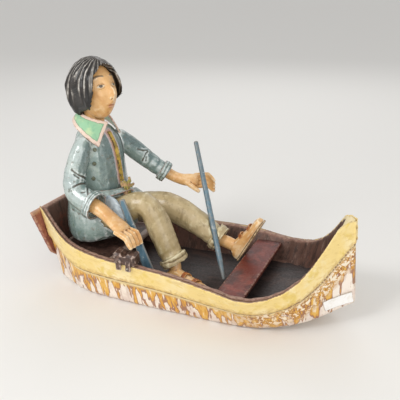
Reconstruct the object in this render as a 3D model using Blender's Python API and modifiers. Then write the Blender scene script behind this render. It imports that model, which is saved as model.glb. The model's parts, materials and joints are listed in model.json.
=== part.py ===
# Man seated in a small rowing boat, a painted figurine with separately fitted pieces.
# Lengths are in metres. The origin is the centre of the hull's flat bottom,
# +X points to the bow, +Y to port and +Z up. The man faces the bow.

import math

import bmesh
import bpy
from mathutils import Matrix, Vector
from mathutils.bvhtree import BVHTree

# Gaps between neighbouring pieces
FIT_GAP = 0.0004
WIDE_GAP = 0.0008
WALL_GAP = 0.0011
RAIL_GAP = 0.0009

# Hull
HULL_LENGTH = 0.464
BEAM = 0.218
BOTTOM_BREADTH = 0.146
FREEBOARD = 0.077
STERN_HEIGHT = 0.126
STEM_HEIGHT = 0.154
STEM_RAKE = 0.082
STEM_PLUMB_LEVEL = 0.100
BOW_ROCKER = 0.034
STERN_RAKE = 0.15
STEM_THICKNESS = 0.008
STEM_DEPTH = 0.016
HULL_WALL = 0.0075
CHINE_RADIUS = 0.006
STATION_COUNT = 27

# Shape of the hull at nine equal stations, stern to stem, as shares of the sizes above
SHEER_BREADTH_SHARES = (0.47, 0.76, 0.86, 0.885, 0.93, 1.0, 0.985, 0.65, 0.0)
BOTTOM_BREADTH_SHARES = (0.50, 0.88, 0.97, 1.0, 1.0, 1.0, 0.92, 0.60, 0.0)
STERN_RISE_SHARES = (1.0, 0.30, 0.08, 0.03, 0.0, 0.0, 0.0, 0.0, 0.0)
BOW_RISE_SHARES = (0.0, 0.0, 0.0, 0.0, 0.0, -0.050, -0.135, 0.18, 1.30)
ROCKER_SHARES = (0.0, 0.0, 0.0, 0.0, 0.0, 0.0, 0.08, 0.38, 1.0)
RAIL_DEPTH_SHARES = (1.36, 1.19, 1.0, 0.96, 1.0, 1.0, 0.88, 0.94, 1.50)

# Rail strakes along the top of both sides
RAIL_DEPTH = 0.036
RAIL_THICKNESS = 0.003
RAIL_STEM_OVERHANG = 0.0016

# Floor board, thwart and stern seat
FLOOR_LEVEL = 0.034
FLOOR_THICKNESS = 0.005
FLOOR_START = 0.06
FLOOR_END = 0.88
THWART_LEVEL = 0.060
THWART_THICKNESS = 0.007
THWART_AFT = 0.067
THWART_WIDTH = 0.040
SEAT_LEVEL = 0.0655
SEAT_THICKNESS = 0.009
SEAT_STERN_GAP = 0.0103
SEAT_WIDTH = 0.105

# Stern board
BOARD_TOP = 0.120
BOARD_TOP_WIDTH = 0.150
BOARD_SHOULDER = 0.047
BOARD_SHOULDER_WIDTH = 0.100
BOARD_BOTTOM = 0.030
BOARD_BOTTOM_WIDTH = 0.058
BOARD_THICKNESS = 0.0062

# Rowlocks
ROWLOCK_PLACE = -0.064
ROWLOCK_LENGTH = 0.034
ROWLOCK_WIDTH = 0.020
ROWLOCK_HEIGHT = 0.019
ROWLOCK_NOTCH_RADIUS = 0.0055
LUG_SPACING = 0.015
LUG_WIDTH = 0.0085
LUG_THICKNESS = 0.004
LUG_DROP = 0.008
NAIL_RADIUS = 0.0016
NAIL_HEIGHT = 0.0012

# Oars
BLADE_TOP = Vector((-0.0895, -0.0553, 0.1555))
BLADE_FOOT = Vector((-0.0375, -0.0625, FLOOR_LEVEL + 0.0005))
BLADE_TOP_WIDTH = 0.0085
BLADE_FOOT_WIDTH = 0.0165
BLADE_THICKNESS = 0.004
POLE_GRIP = Vector((-0.0120, 0.062, 0.1575))
POLE_FOOT = Vector((0.0515, -0.0145, FLOOR_LEVEL + 0.0026))
POLE_LENGTH = 0.222
POLE_TOP_RADIUS = 0.0036
POLE_MID_RADIUS = 0.0042
POLE_FOOT_RADIUS = 0.0024

# Figure
HEAD_CENTRE = Vector((-0.1575, 0.0, 0.2960))
HEAD_HEIGHT = 0.084
HEAD_WIDTH = 0.056
HEAD_DEPTH = 0.072
HEAD_TURN = math.radians(-17)
HEAD_NOD = math.radians(-19)
NECK_RADIUS = 0.0165
HAIR_THICKNESS = 0.0078
HAIR_LOCKS = 14
HAIR_LINING_GAP = 0.0011
FACE_EDGE = -0.002
JAW_LEVEL = -0.0275
HAIR_BACK_SHARE = 1.10
COLLAR_THICKNESS = 0.0026
HEM_THICKNESS = 0.0022
CUFF_THICKNESS = 0.0022
CUFF_WIDTH = 0.012
SLEEVE_SOCKET = 0.003
TROUSER_CUFF_THICKNESS = 0.0024
TROUSER_CUFF_WIDTH = 0.013
BUTTON_RADIUS = 0.0032
BUTTON_THICKNESS = 0.0016
PLACKET_WIDTH = 0.008
PLACKET_OFFSET = -0.003
PLACKET_THICKNESS = 0.0022
FOOT_LENGTH = 0.078
FOOT_WIDTH = 0.024
FOOT_HEIGHT = 0.019
SOLE_THICKNESS = 0.0028
STRAP_THICKNESS = 0.0014
STRAP_WIDTH = 0.007

PORT = 1
STARBOARD = -1


# Scene and materials

def clear_scene():
    for item in list(bpy.data.objects):
        bpy.data.objects.remove(item)


def new_collection(name):
    collection = bpy.data.collections.new(name)
    bpy.context.scene.collection.children.link(collection)
    return collection


def paint(name, colour, roughness=0.5, metallic=0.0):
    material = bpy.data.materials.new(name)
    material.use_nodes = True
    shader = material.node_tree.nodes["Principled BSDF"]
    shader.inputs["Base Color"].default_value = (*colour, 1.0)
    shader.inputs["Roughness"].default_value = roughness
    shader.inputs["Metallic"].default_value = metallic
    material.diffuse_color = (*colour, 1.0)
    return material


def add_object(name, mesh, material, collection=None):
    item = bpy.data.objects.new(name, mesh)
    (collection or PARTS).objects.link(item)
    if material:
        item.data.materials.append(material)
    return item


def finish_mesh(name, shape, smooth_angle=35.0):
    bmesh.ops.recalc_face_normals(shape, faces=shape.faces)
    mesh = bpy.data.meshes.new(name)
    shape.to_mesh(mesh)
    shape.free()
    mesh.shade_smooth()
    mesh.set_sharp_from_angle(angle=math.radians(smooth_angle))
    return mesh


def evaluated_mesh(item):
    # Own copy of an object's finished mesh, in world space
    bpy.context.view_layer.update()
    graph = bpy.context.evaluated_depsgraph_get()
    mesh = bpy.data.meshes.new_from_object(item.evaluated_get(graph))
    mesh.transform(item.matrix_world)
    return mesh


# Modifiers and cutters

def hide_as_cutter(item):
    for collection in list(item.users_collection):
        collection.objects.unlink(item)
    CUTTERS.objects.link(item)
    item.hide_render = True
    item.display_type = 'WIRE'


def subdivide(item, levels=1):
    modifier = item.modifiers.new("round", 'SUBSURF')
    modifier.levels = levels
    modifier.render_levels = levels


def round_edges(item, width, segments=1, angle=30.0):
    modifier = item.modifiers.new("edges", 'BEVEL')
    modifier.width = width
    modifier.segments = segments
    modifier.limit_method = 'ANGLE'
    modifier.angle_limit = math.radians(angle)


def combine(item, other, operation='DIFFERENCE'):
    modifier = item.modifiers.new(operation.lower(), 'BOOLEAN')
    modifier.operation = operation
    modifier.solver = 'EXACT'
    modifier.object = other
    hide_as_cutter(other)


def grown_copy(item, growth=FIT_GAP):
    # Copy of a finished piece with its surface moved out by the gap
    mesh = evaluated_mesh(item)
    shape = bmesh.new()
    shape.from_mesh(mesh)
    bmesh.ops.remove_doubles(shape, verts=shape.verts, dist=0.00001)
    shape.normal_update()
    moves = [v.normal * growth * min(v.calc_shell_factor(), 1.8) for v in shape.verts]
    for vertex, move in zip(shape.verts, moves):
        vertex.co += move
    shape.to_mesh(mesh)
    shape.free()
    mesh.materials.clear()
    copy = bpy.data.objects.new(item.name + "_room", mesh)
    CUTTERS.objects.link(copy)
    return copy


def make_room(item, *neighbours, growth=FIT_GAP):
    for neighbour in neighbours:
        combine(item, grown_copy(neighbour, growth))


# Shapes

def loft(name, rings, smooth_angle=35.0, split=False):
    # Closed solid through rings of equally many points, with flat ends; twisted faces are split
    shape = bmesh.new()
    rows = [[shape.verts.new(point) for point in ring] for ring in rings]
    for near, far in zip(rows, rows[1:]):
        for i in range(len(near)):
            j = (i + 1) % len(near)
            shape.faces.new((near[i], near[j], far[j], far[i]))
    shape.faces.new(rows[0])
    shape.faces.new(rows[-1])
    if split:
        bmesh.ops.triangulate(shape, faces=shape.faces)
    return finish_mesh(name, shape, smooth_angle)


def limb(name, stations, sides=8, flat_axis=Vector((0, 1, 0))):
    # Loft along a spine; each station is a centre, a half width and a half height
    rings = []
    for i, (centre, half_width, half_height) in enumerate(stations):
        before = stations[max(i - 1, 0)][0]
        after = stations[min(i + 1, len(stations) - 1)][0]
        along_spine = (Vector(after) - Vector(before)).normalized()
        across = (flat_axis - along_spine * flat_axis.dot(along_spine)).normalized()
        upright = along_spine.cross(across)
        ring = []
        for k in range(sides):
            angle = math.tau * (k + 0.5) / sides
            ring.append(Vector(centre) + across * (math.cos(angle) * half_width)
                        + upright * (math.sin(angle) * half_height))
        rings.append(ring)
    return loft(name, rings)


def box_mesh(name, size, centre=(0, 0, 0)):
    shape = bmesh.new()
    bmesh.ops.create_cube(shape, size=1.0)
    bmesh.ops.scale(shape, verts=shape.verts, vec=size)
    bmesh.ops.translate(shape, verts=shape.verts, vec=centre)
    return finish_mesh(name, shape)


def rod_mesh(name, radius, end_radius, length, sides=20):
    # Rod along +Z from the origin
    shape = bmesh.new()
    bmesh.ops.create_cone(shape, cap_ends=True, segments=sides,
                          radius1=radius, radius2=end_radius, depth=length)
    bmesh.ops.translate(shape, verts=shape.verts, vec=(0, 0, length / 2))
    return finish_mesh(name, shape)


def aim(origin, direction, roll_axis=Vector((0, 1, 0))):
    # Placement with its Z axis along the direction and its Y axis near the roll axis
    z = direction.normalized()
    y = (roll_axis - z * roll_axis.dot(z)).normalized()
    x = y.cross(z)
    placement = Matrix((x, y, z)).transposed().to_4x4()
    placement.translation = origin
    return placement


# Hull lines

def along(shares, t):
    # Smooth value at t, 0 at the stern and 1 at the stem, through equally spaced shares
    last = len(shares) - 1
    place = min(max(t, 0.0), 1.0) * last
    i = min(int(place), last - 1)
    u = place - i
    b, c = shares[i], shares[i + 1]
    a = shares[i - 1] if i > 0 else 2 * b - c
    d = shares[i + 2] if i + 2 <= last else 2 * c - b
    cubic = (3 * b - a - 3 * c + d) * u ** 3
    square = (2 * a - 5 * b + 4 * c - d) * u ** 2
    return 0.5 * (2 * b + (c - a) * u + square + cubic)


def breadth_at(full_breadth, shares, t):
    stem_half = STEM_THICKNESS / 2
    return stem_half + (full_breadth / 2 - stem_half) * along(shares, t)


def sheer_half(t):
    return breadth_at(BEAM, SHEER_BREADTH_SHARES, t)


def bottom_half(t):
    return breadth_at(BOTTOM_BREADTH, BOTTOM_BREADTH_SHARES, t)


def bottom_height(t):
    return BOW_ROCKER * along(ROCKER_SHARES, t)


def sheer_curve(t):
    # Sweep of the sheer before the head of the stem is cut off level
    stern_rise = (STERN_HEIGHT - FREEBOARD) * along(STERN_RISE_SHARES, t)
    bow_rise = (STEM_HEIGHT - FREEBOARD) * along(BOW_RISE_SHARES, t)
    return FREEBOARD + stern_rise + bow_rise


def sheer_height(t):
    return min(sheer_curve(t), STEM_HEIGHT)


def stern_x(z):
    return -HULL_LENGTH / 2 + STERN_RAKE * (STERN_HEIGHT - z)


def stem_x(z):
    return HULL_LENGTH / 2 + STEM_RAKE * (STEM_PLUMB_LEVEL - z)


def hull_x(t, z):
    return stern_x(z) + (stem_x(z) - stern_x(z)) * t


def station_at(x, z):
    return (x - stern_x(z)) / (stem_x(z) - stern_x(z))


def half_at(t, z):
    # Outer half breadth of the hull at a height
    rise = (z - bottom_height(t)) / (sheer_curve(t) - bottom_height(t))
    return bottom_half(t) + (sheer_half(t) - bottom_half(t)) * rise


def flare(t):
    side = Vector((sheer_half(t) - bottom_half(t), sheer_curve(t) - bottom_height(t)))
    return side.normalized()


def inner_half(t, z, gap=0.0):
    return half_at(t, z) - (HULL_WALL + gap) / max(flare(t).y, 0.5)


def well_floor(t):
    # Height of the hull's own inner bottom, under the floor board
    return FLOOR_LEVEL - FLOOR_THICKNESS - FIT_GAP + bottom_height(t)


def stations(start, end):
    # Cross sections, closer together towards both ends
    even = [i / (STATION_COUNT - 1) for i in range(STATION_COUNT)]
    inside = [0.4 * t + 0.6 * (0.5 - 0.5 * math.cos(math.pi * t)) for t in even]
    return [start] + [t for t in inside if start + 0.005 < t < end - 0.005] + [end]


def across_ring(t, heights_and_halves):
    # Ring across the boat from port to starboard and back
    port = [Vector((hull_x(t, z), y, z)) for z, y in heights_and_halves]
    starboard = [Vector((p.x, -p.y, p.z)) for p in reversed(port) if abs(p.y) > 1e-6]
    return port + starboard


# Boat pieces

def build_hull():
    rings = []
    for t in stations(0.0, 1.0):
        low, high = bottom_height(t), sheer_height(t)
        chine = min(CHINE_RADIUS, bottom_half(t) * 0.5)
        middle = (low + high) / 2
        rings.append(across_ring(t, ((high, half_at(t, high)), (middle, half_at(t, middle)),
                                     (low + chine, half_at(t, low + chine)),
                                     (low, bottom_half(t) - chine * 0.6), (low, 0.0))))
    hull = add_object("hull", loft("hull", rings, split=True), OLD_WOOD)
    well = []
    for t in stations(HULL_WALL / HULL_LENGTH, 1.0 - STEM_DEPTH / HULL_LENGTH):
        floor, top = well_floor(t), sheer_height(t) + FREEBOARD / 2
        well.append(across_ring(t, ((top, max(inner_half(t, top), 0.002)),
                                    (floor, max(inner_half(t, floor), 0.0015)), (floor, 0.0))))
    combine(hull, add_object("hull_well", loft("hull_well", well, split=True), None, CUTTERS))
    return hull


def rail_ring(t, side, x_shift=0.0, y_inner=None):
    side_up = flare(t)
    side_out = Vector((side_up.y, -side_up.x))
    crest = Vector((sheer_half(t), sheer_curve(t)))
    low = crest - side_up * RAIL_DEPTH * along(RAIL_DEPTH_SHARES, t)
    top = crest - side_up * ((sheer_curve(t) - sheer_height(t)) / side_up.y)
    near = side_out * RAIL_GAP
    far = side_out * (RAIL_GAP + RAIL_THICKNESS)
    ring = []
    for point in (top + near, low + near, low + far, top + far):
        ring.append(Vector((hull_x(t, point.y) + x_shift, side * point.x, point.y)))
    if y_inner is not None:
        ring[0].y = side * y_inner
        ring[1].y = side * y_inner
    return ring


def build_rail(name, side):
    rings = [rail_ring(t, side) for t in stations(0.0, 1.0)]
    centre_gap = FIT_GAP / 2
    rings.append(rail_ring(1.0, side, FIT_GAP))
    rings.append(rail_ring(1.0, side, FIT_GAP * 1.5, centre_gap))
    rings.append(rail_ring(1.0, side, RAIL_STEM_OVERHANG, centre_gap))
    return add_object(name, loft(name, rings, 50.0, True), RAIL_PAINT)


def plank_between_sides(name, x_start, x_end, level, thickness, material, hull):
    rings = []
    for share in (0.0, 0.5, 1.0):
        x = x_start + (x_end - x_start) * share
        ring = []
        for z in (level - thickness, level):
            half = inner_half(station_at(x, z), z)
            ring.append(Vector((x, half, z)))
            ring.insert(0, Vector((x, -half, z)))
        rings.append([ring[1], ring[2], ring[3], ring[0]])
    plank = add_object(name, loft(name, rings, split=True), material)
    make_room(plank, hull)
    return plank


def build_floor_board():
    rings = []
    for t in stations(FLOOR_START, FLOOR_END):
        top = FLOOR_LEVEL + bottom_height(t)
        low = top - FLOOR_THICKNESS
        rings.append(across_ring(t, ((top, inner_half(t, top, WALL_GAP)),
                                     (low, inner_half(t, low, WALL_GAP)))))
    return add_object("floor_board", loft("floor_board", rings, split=True), FLOOR_STAIN)


def build_stern_board():
    half_outline = ((BOARD_TOP_WIDTH / 2, BOARD_TOP), (BOARD_SHOULDER_WIDTH / 2, BOARD_SHOULDER),
                    (BOARD_BOTTOM_WIDTH / 2, BOARD_BOTTOM))
    outline = list(half_outline) + [(-y, z) for y, z in reversed(half_outline)]
    rings = []
    for back in (FIT_GAP, FIT_GAP + BOARD_THICKNESS):
        rings.append([Vector((stern_x(z) - back, y, z)) for y, z in outline])
    board = add_object("stern_board", loft("stern_board", rings), BOARD_STAIN)
    round_edges(board, 0.0008)
    return board


def build_rowlock(name, side, hull, rail):
    x = ROWLOCK_PLACE
    t = station_at(x, FREEBOARD)
    outer = sheer_half(t) + RAIL_GAP + RAIL_THICKNESS
    rim = sheer_height(t)
    block = add_object(name, box_mesh(name, (ROWLOCK_LENGTH, ROWLOCK_WIDTH, ROWLOCK_HEIGHT)), DARK_WOOD)
    block.location = (x, side * (outer - ROWLOCK_WIDTH / 2 + LUG_THICKNESS * 0.6),
                      rim + ROWLOCK_HEIGHT / 2 - 0.001)
    block.rotation_euler = (side * math.radians(-8), 0, 0)
    round_edges(block, 0.0030)
    for end in (-1, 1):
        lug_size = (LUG_WIDTH, LUG_THICKNESS, LUG_DROP * 2)
        lug = add_object(name + "_lug", box_mesh(name + "_lug", lug_size), None)
        lug.location = (x + end * LUG_SPACING / 2, side * (outer + FIT_GAP + LUG_THICKNESS / 2), rim)
        round_edges(lug, 0.0010)
        combine(block, lug, 'UNION')
    notch = add_object(name + "_notch", rod_mesh(name + "_notch", ROWLOCK_NOTCH_RADIUS,
                                                 ROWLOCK_NOTCH_RADIUS, ROWLOCK_WIDTH * 2, 16), None)
    notch.matrix_world = aim(Vector((x, side * outer - ROWLOCK_WIDTH, rim + ROWLOCK_HEIGHT)),
                             Vector((0, 1, 0)), Vector((0, 0, 1)))
    combine(block, notch)
    make_room(block, hull, rail)
    return block


def build_nail(name, side, rowlock):
    t = station_at(ROWLOCK_PLACE, FREEBOARD)
    outer = sheer_half(t) + RAIL_GAP + RAIL_THICKNESS
    nail = add_object(name, rod_mesh(name, NAIL_RADIUS, NAIL_RADIUS * 0.7, NAIL_HEIGHT, 12), STEEL)
    start = Vector((ROWLOCK_PLACE + LUG_SPACING / 2, side * (outer + 0.03), sheer_height(t) - LUG_DROP / 3))
    seat = surface_point(rowlock, start, Vector((0, -side, 0)))[0]
    nail.matrix_world = aim(seat + Vector((0, side * FIT_GAP, 0)), Vector((0, side, 0)), Vector((0, 0, 1)))
    return nail


def surface_point(item, start, direction):
    # Where a straight line meets a finished piece, and the outward direction there
    mesh = evaluated_mesh(item)
    tree = BVHTree.FromPolygons([v.co for v in mesh.vertices], [p.vertices for p in mesh.polygons])
    point, normal = tree.ray_cast(start, direction)[:2]
    bpy.data.meshes.remove(mesh)
    return point, normal


def build_blade_oar():
    direction = (BLADE_TOP - BLADE_FOOT).normalized()
    length = (BLADE_TOP - BLADE_FOOT).length
    rings = []
    for share, width in ((0.0, BLADE_FOOT_WIDTH * 0.94), (0.03, BLADE_FOOT_WIDTH),
                         (0.5, (BLADE_FOOT_WIDTH + BLADE_TOP_WIDTH) / 2), (1.0, BLADE_TOP_WIDTH)):
        half, thick = width / 2, BLADE_THICKNESS / 2
        rings.append([Vector((x, y, share * length)) for x, y in
                      ((-half, -thick), (half, -thick), (half, thick), (-half, thick))])
    oar = add_object("oar_starboard", loft("oar_starboard", rings), OAR_PAINT)
    oar.matrix_world = aim(BLADE_FOOT, direction, Vector((0.35, -1.0, 0)))
    round_edges(oar, 0.0010)
    return oar


def build_pole_oar():
    direction = (POLE_GRIP - POLE_FOOT).normalized()
    shape = bmesh.new()
    profile = ((0.0, 0.0), (POLE_FOOT_RADIUS, 0.001), (POLE_MID_RADIUS, 0.03),
               (POLE_MID_RADIUS, POLE_LENGTH * 0.55), (POLE_TOP_RADIUS, POLE_LENGTH - 0.0008),
               (POLE_TOP_RADIUS * 0.75, POLE_LENGTH), (0.0, POLE_LENGTH))
    points = [shape.verts.new((radius, 0, height)) for radius, height in profile]
    edges = [shape.edges.new(pair) for pair in zip(points, points[1:])]
    bmesh.ops.spin(shape, geom=points + edges, cent=(0, 0, 0), axis=(0, 0, 1),
                   angle=math.tau, steps=14, use_merge=True)
    bmesh.ops.remove_doubles(shape, verts=shape.verts, dist=0.00005)
    oar = add_object("oar_port", finish_mesh("oar_port", shape), OAR_PAINT)
    oar.matrix_world = aim(POLE_FOOT, direction)
    return oar


# Figure pieces

def torso_ring(z_back, z_front, x_back, x_front, half_width, sides=10):
    ring = []
    for k in range(sides):
        angle = math.tau * k / sides
        forward = math.cos(angle)
        ring.append(Vector(((x_back + x_front) / 2 + forward * (x_front - x_back) / 2,
                            math.copysign(abs(math.sin(angle)) ** 0.85, math.sin(angle)) * half_width,
                            z_back + (z_front - z_back) * (1 + forward) / 2)))
    return ring


def build_coat():
    # Skirt over the seat, waist, chest and shoulders, from the bottom up
    bottom = SEAT_LEVEL + FIT_GAP
    rings = [torso_ring(bottom, bottom + 0.020, -0.184, -0.112, 0.049),
             torso_ring(bottom + 0.002, bottom + 0.022, -0.199, -0.100, 0.060),
             torso_ring(bottom + 0.013, bottom + 0.034, -0.209, -0.094, 0.0655),
             torso_ring(bottom + 0.039, bottom + 0.052, -0.2115, -0.094, 0.063),
             torso_ring(0.136, 0.136, -0.209, -0.102, 0.057),
             torso_ring(0.151, 0.149, -0.203, -0.112, 0.049),
             torso_ring(0.158, 0.155, -0.203, -0.114, 0.048),
             torso_ring(0.190, 0.186, -0.195, -0.118, 0.045),
             torso_ring(0.218, 0.214, -0.191, -0.122, 0.044),
             torso_ring(0.234, 0.230, -0.188, -0.130, 0.039),
             torso_ring(0.246, 0.241, -0.181, -0.137, 0.026),
             torso_ring(0.249, 0.244, -0.176, -0.143, 0.018)]
    coat = add_object("coat", loft("coat", rings), COAT_PAINT)
    subdivide(coat)
    return coat


def build_trousers():
    right = add_object("trousers", limb("trousers", (
        ((-0.150, -0.028, 0.104), 0.024, 0.024), ((-0.120, -0.029, 0.116), 0.025, 0.025),
        ((-0.088, -0.029, 0.137), 0.022, 0.023), ((-0.067, -0.028, 0.146), 0.0205, 0.0215),
        ((-0.053, -0.028, 0.131), 0.0200, 0.0220), ((-0.039, -0.029, 0.098), 0.0200, 0.0205),
        ((-0.028, -0.031, 0.077), 0.0195, 0.0195), ((-0.019, -0.032, 0.061), 0.0185, 0.0185))), CLOTH_PAINT)
    subdivide(right)
    left = add_object("trouser_left", limb("trouser_left", (
        ((-0.150, 0.026, 0.104), 0.024, 0.024), ((-0.120, 0.028, 0.108), 0.025, 0.025),
        ((-0.090, 0.032, 0.116), 0.024, 0.026), ((-0.060, 0.034, 0.120), 0.023, 0.025),
        ((-0.036, 0.035, 0.111), 0.021, 0.024), ((-0.010, 0.035, 0.098), 0.020, 0.022),
        ((0.010, 0.035, 0.086), 0.019, 0.020), ((0.026, 0.035, 0.077), 0.0185, 0.0185))), None)
    subdivide(left)
    lap = add_object("trouser_lap", limb("trouser_lap", (
        ((-0.150, 0.0, 0.106), 0.030, 0.022), ((-0.120, 0.0, 0.112), 0.030, 0.022),
        ((-0.100, 0.0, 0.116), 0.026, 0.019)), 8), None)
    subdivide(lap)
    combine(right, left, 'UNION')
    combine(right, lap, 'UNION')
    return right


def build_sleeve(name, spine):
    sleeve = add_object(name, limb(name, spine, 8), COAT_PAINT)
    subdivide(sleeve)
    end, inside = Vector(spine[-1][0]), Vector(spine[-2][0])
    outward = (end - inside).normalized()
    radius = spine[-1][1] - SLEEVE_SOCKET
    mouth = add_object(name + "_mouth", rod_mesh(name + "_mouth", radius * 0.75, radius * 1.05, 0.020), None)
    mouth.matrix_world = aim(end - outward * 0.012, outward)
    combine(sleeve, mouth)
    return sleeve


def build_band(name, centre, direction, radius, width, thickness, material, sides=16):
    # Rolled band around a limb: a ring with a full, soft section
    shape = bmesh.new()
    inner = radius - thickness * 0.8
    outer = radius + thickness
    profile = ((inner, 0.0), (outer * 0.985, 0.0), (outer, width * 0.3), (outer * 0.99, width * 0.75),
               (outer * 0.95, width), (inner, width))
    rows = [shape.verts.new((r, 0, z)) for r, z in profile]
    edges = [shape.edges.new((rows[i], rows[(i + 1) % len(rows)])) for i in range(len(rows))]
    bmesh.ops.spin(shape, geom=rows + edges, cent=(0, 0, 0), axis=(0, 0, 1),
                   angle=math.tau, steps=sides, use_merge=True)
    band = add_object(name, finish_mesh(name, shape), material)
    band.matrix_world = aim(centre, direction)
    return band


def build_hand(name, arm, fingers):
    hand = add_object(name, limb(name, arm), SKIN_PAINT)
    subdivide(hand)
    for finger in fingers:
        piece = add_object(name + "_finger", limb(name + "_finger", finger, 6), None)
        combine(hand, piece, 'UNION')
    return hand


def finger_spine(root, knuckle, tip, radius):
    root, knuckle, tip = Vector(root), Vector(knuckle), Vector(tip)
    return ((root, radius, radius), (knuckle, radius, radius * 1.05),
            (knuckle.lerp(tip, 0.6), radius * 0.92, radius * 0.95), (tip, radius * 0.62, radius * 0.65))


def head_radius_point(direction):
    # Egg-shaped head with calm, evenly proportioned features; +X is the face
    x, y, z = direction
    jaw = max(-z, 0.0)
    width = HEAD_WIDTH / 2 * (1.0 - 0.22 * jaw ** 1.6)
    front = HEAD_DEPTH / 2 * (0.94 + 0.05 * jaw if x > 0 else 1.0 - 0.18 * jaw)
    point = Vector((x * front, y * width, z * HEAD_HEIGHT / 2))
    if x > 0:
        side = point.y / (HEAD_WIDTH / 2)
        level = point.z / (HEAD_HEIGHT / 2)
        point.x += bump(side, 0.0, 0.13, level, -0.26, 0.20) * 0.0095
        point.x += bump(side, 0.0, 0.11, level, -0.42, 0.07) * 0.0035
        point.x += bump(side, 0.0, 0.62, level, 0.24, 0.10) * 0.0022
        point.x += bump(side, 0.0, 0.26, level, -0.62, 0.055) * 0.0030
        point.x += bump(side, 0.0, 0.24, level, -0.73, 0.05) * 0.0026
        point.x += bump(side, 0.0, 0.26, level, -0.95, 0.12) * 0.0035
        for eye in (-1, 1):
            point.x -= bump(side, eye * 0.40, 0.22, level, 0.02, 0.13) * 0.0042
            point.x += bump(side, eye * 0.42, 0.13, level, 0.0, 0.07) * 0.0030
            point.x += bump(side, eye * 0.55, 0.20, level, -0.30, 0.20) * 0.0012
    return point


def bump(side, side_centre, side_reach, level, level_centre, level_reach):
    a = (side - side_centre) / side_reach
    b = (level - level_centre) / level_reach
    return math.exp(-(a * a + b * b))


def head_placement():
    turn = Matrix.Rotation(HEAD_TURN, 4, 'Z')
    nod = Matrix.Rotation(HEAD_NOD, 4, 'Y')
    return Matrix.Translation(HEAD_CENTRE) @ turn @ nod


def ball(columns, rows):
    shape = bmesh.new()
    bmesh.ops.create_uvsphere(shape, u_segments=columns, v_segments=rows, radius=1.0)
    return shape


def build_head():
    shape = ball(28, 20)
    for vertex in shape.verts:
        # Columns are drawn towards the face, where the features are
        angle = math.atan2(vertex.co.y, vertex.co.x)
        flat = math.hypot(vertex.co.x, vertex.co.y)
        angle -= 0.45 * math.sin(angle)
        direction = Vector((math.cos(angle) * flat, math.sin(angle) * flat, vertex.co.z))
        vertex.co = head_radius_point(direction)
    head = add_object("head", finish_mesh("head", shape, 60.0), SKIN_PAINT)
    head.matrix_world = head_placement()
    combine(head, add_object("neck", neck_mesh("neck"), None), 'UNION')
    return head


def neck_mesh(name, growth=0.0):
    top, middle, foot = (HEAD_CENTRE + Vector((back, 0, drop)) for back, drop in
                         ((-0.004, -0.022), (-0.005, -0.040), (-0.005, -0.058)))
    full, waist = NECK_RADIUS + growth, NECK_RADIUS * 0.95 + growth
    return limb(name, ((top, full, full), (middle, waist, waist), (foot, full, full)), 16)


def build_hair():
    shape = ball(HAIR_LOCKS * 3, 13)
    for vertex in shape.verts:
        direction = vertex.co.copy()
        angle = math.atan2(direction.y, direction.x)
        nape = max(-direction.x, 0.0) * max(-direction.z, 0.0)
        lock = math.cos(HAIR_LOCKS * angle + 2.2 * direction.z)
        fade = 1.0 - max(direction.z, 0.0) ** 4
        reach = 1.0 + nape * 0.10
        thickness = HAIR_THICKNESS + 0.0011 * lock * fade
        length = HEAD_DEPTH / 2 * (1.02 if direction.x > 0 else HAIR_BACK_SHARE)
        vertex.co = Vector((direction.x * (length * reach + thickness),
                            direction.y * (HEAD_WIDTH / 2 + thickness),
                            direction.z * (HEAD_HEIGHT / 2 + thickness * 0.9)))
    hair = add_object("hair", finish_mesh("hair", shape, 60.0), HAIR_PAINT)
    hair.matrix_world = head_placement()
    opening = add_object("face_opening", face_opening_mesh(), None)
    opening.matrix_world = head_placement()
    combine(hair, opening)
    jaw = add_object("jaw_opening", jaw_opening_mesh(), None)
    jaw.matrix_world = head_placement()
    combine(hair, jaw)
    skull = ball(18, 12)
    for vertex in skull.verts:
        vertex.co = head_radius_point(vertex.co)
        vertex.co += vertex.co.normalized() * HAIR_LINING_GAP
    lining = add_object("hair_lining", finish_mesh("hair_lining", skull), None)
    lining.matrix_world = head_placement()
    combine(hair, lining)
    combine(hair, add_object("neck_lining", neck_mesh("neck_lining", HAIR_LINING_GAP), None))
    return hair


def face_opening_mesh():
    # Pointed arch from the parting down both temples, open at the jaw
    shape = bmesh.new()
    width, height = HEAD_WIDTH / 2, HEAD_HEIGHT / 2
    outline = ((0.0, 0.74), (0.34, 0.64), (0.72, 0.40), (0.95, 0.0), (0.98, -0.45), (0.92, -0.80),
               (1.05, -1.6))
    points = list(outline) + [(-y, z) for y, z in reversed(outline[1:])]
    face = shape.faces.new([shape.verts.new((FACE_EDGE, y * width, z * height)) for y, z in points])
    grown = bmesh.ops.extrude_face_region(shape, geom=[face])
    moved = [item for item in grown["geom"] if isinstance(item, bmesh.types.BMVert)]
    bmesh.ops.translate(shape, verts=moved, vec=(HEAD_DEPTH, 0, 0))
    return finish_mesh("face_opening", shape)


def jaw_opening_mesh():
    # Room under the chin; the hair hangs further forward on the right side of the neck
    outline = ((0.012, -0.060), (0.100, -0.060), (0.100, 0.060), (-0.016, 0.060), (-0.016, 0.010), (0.012, -0.012))
    rings = [[Vector((x, y, z)) for x, y in outline] for z in (-HEAD_HEIGHT, JAW_LEVEL)]
    return loft("jaw_opening", rings)


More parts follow.
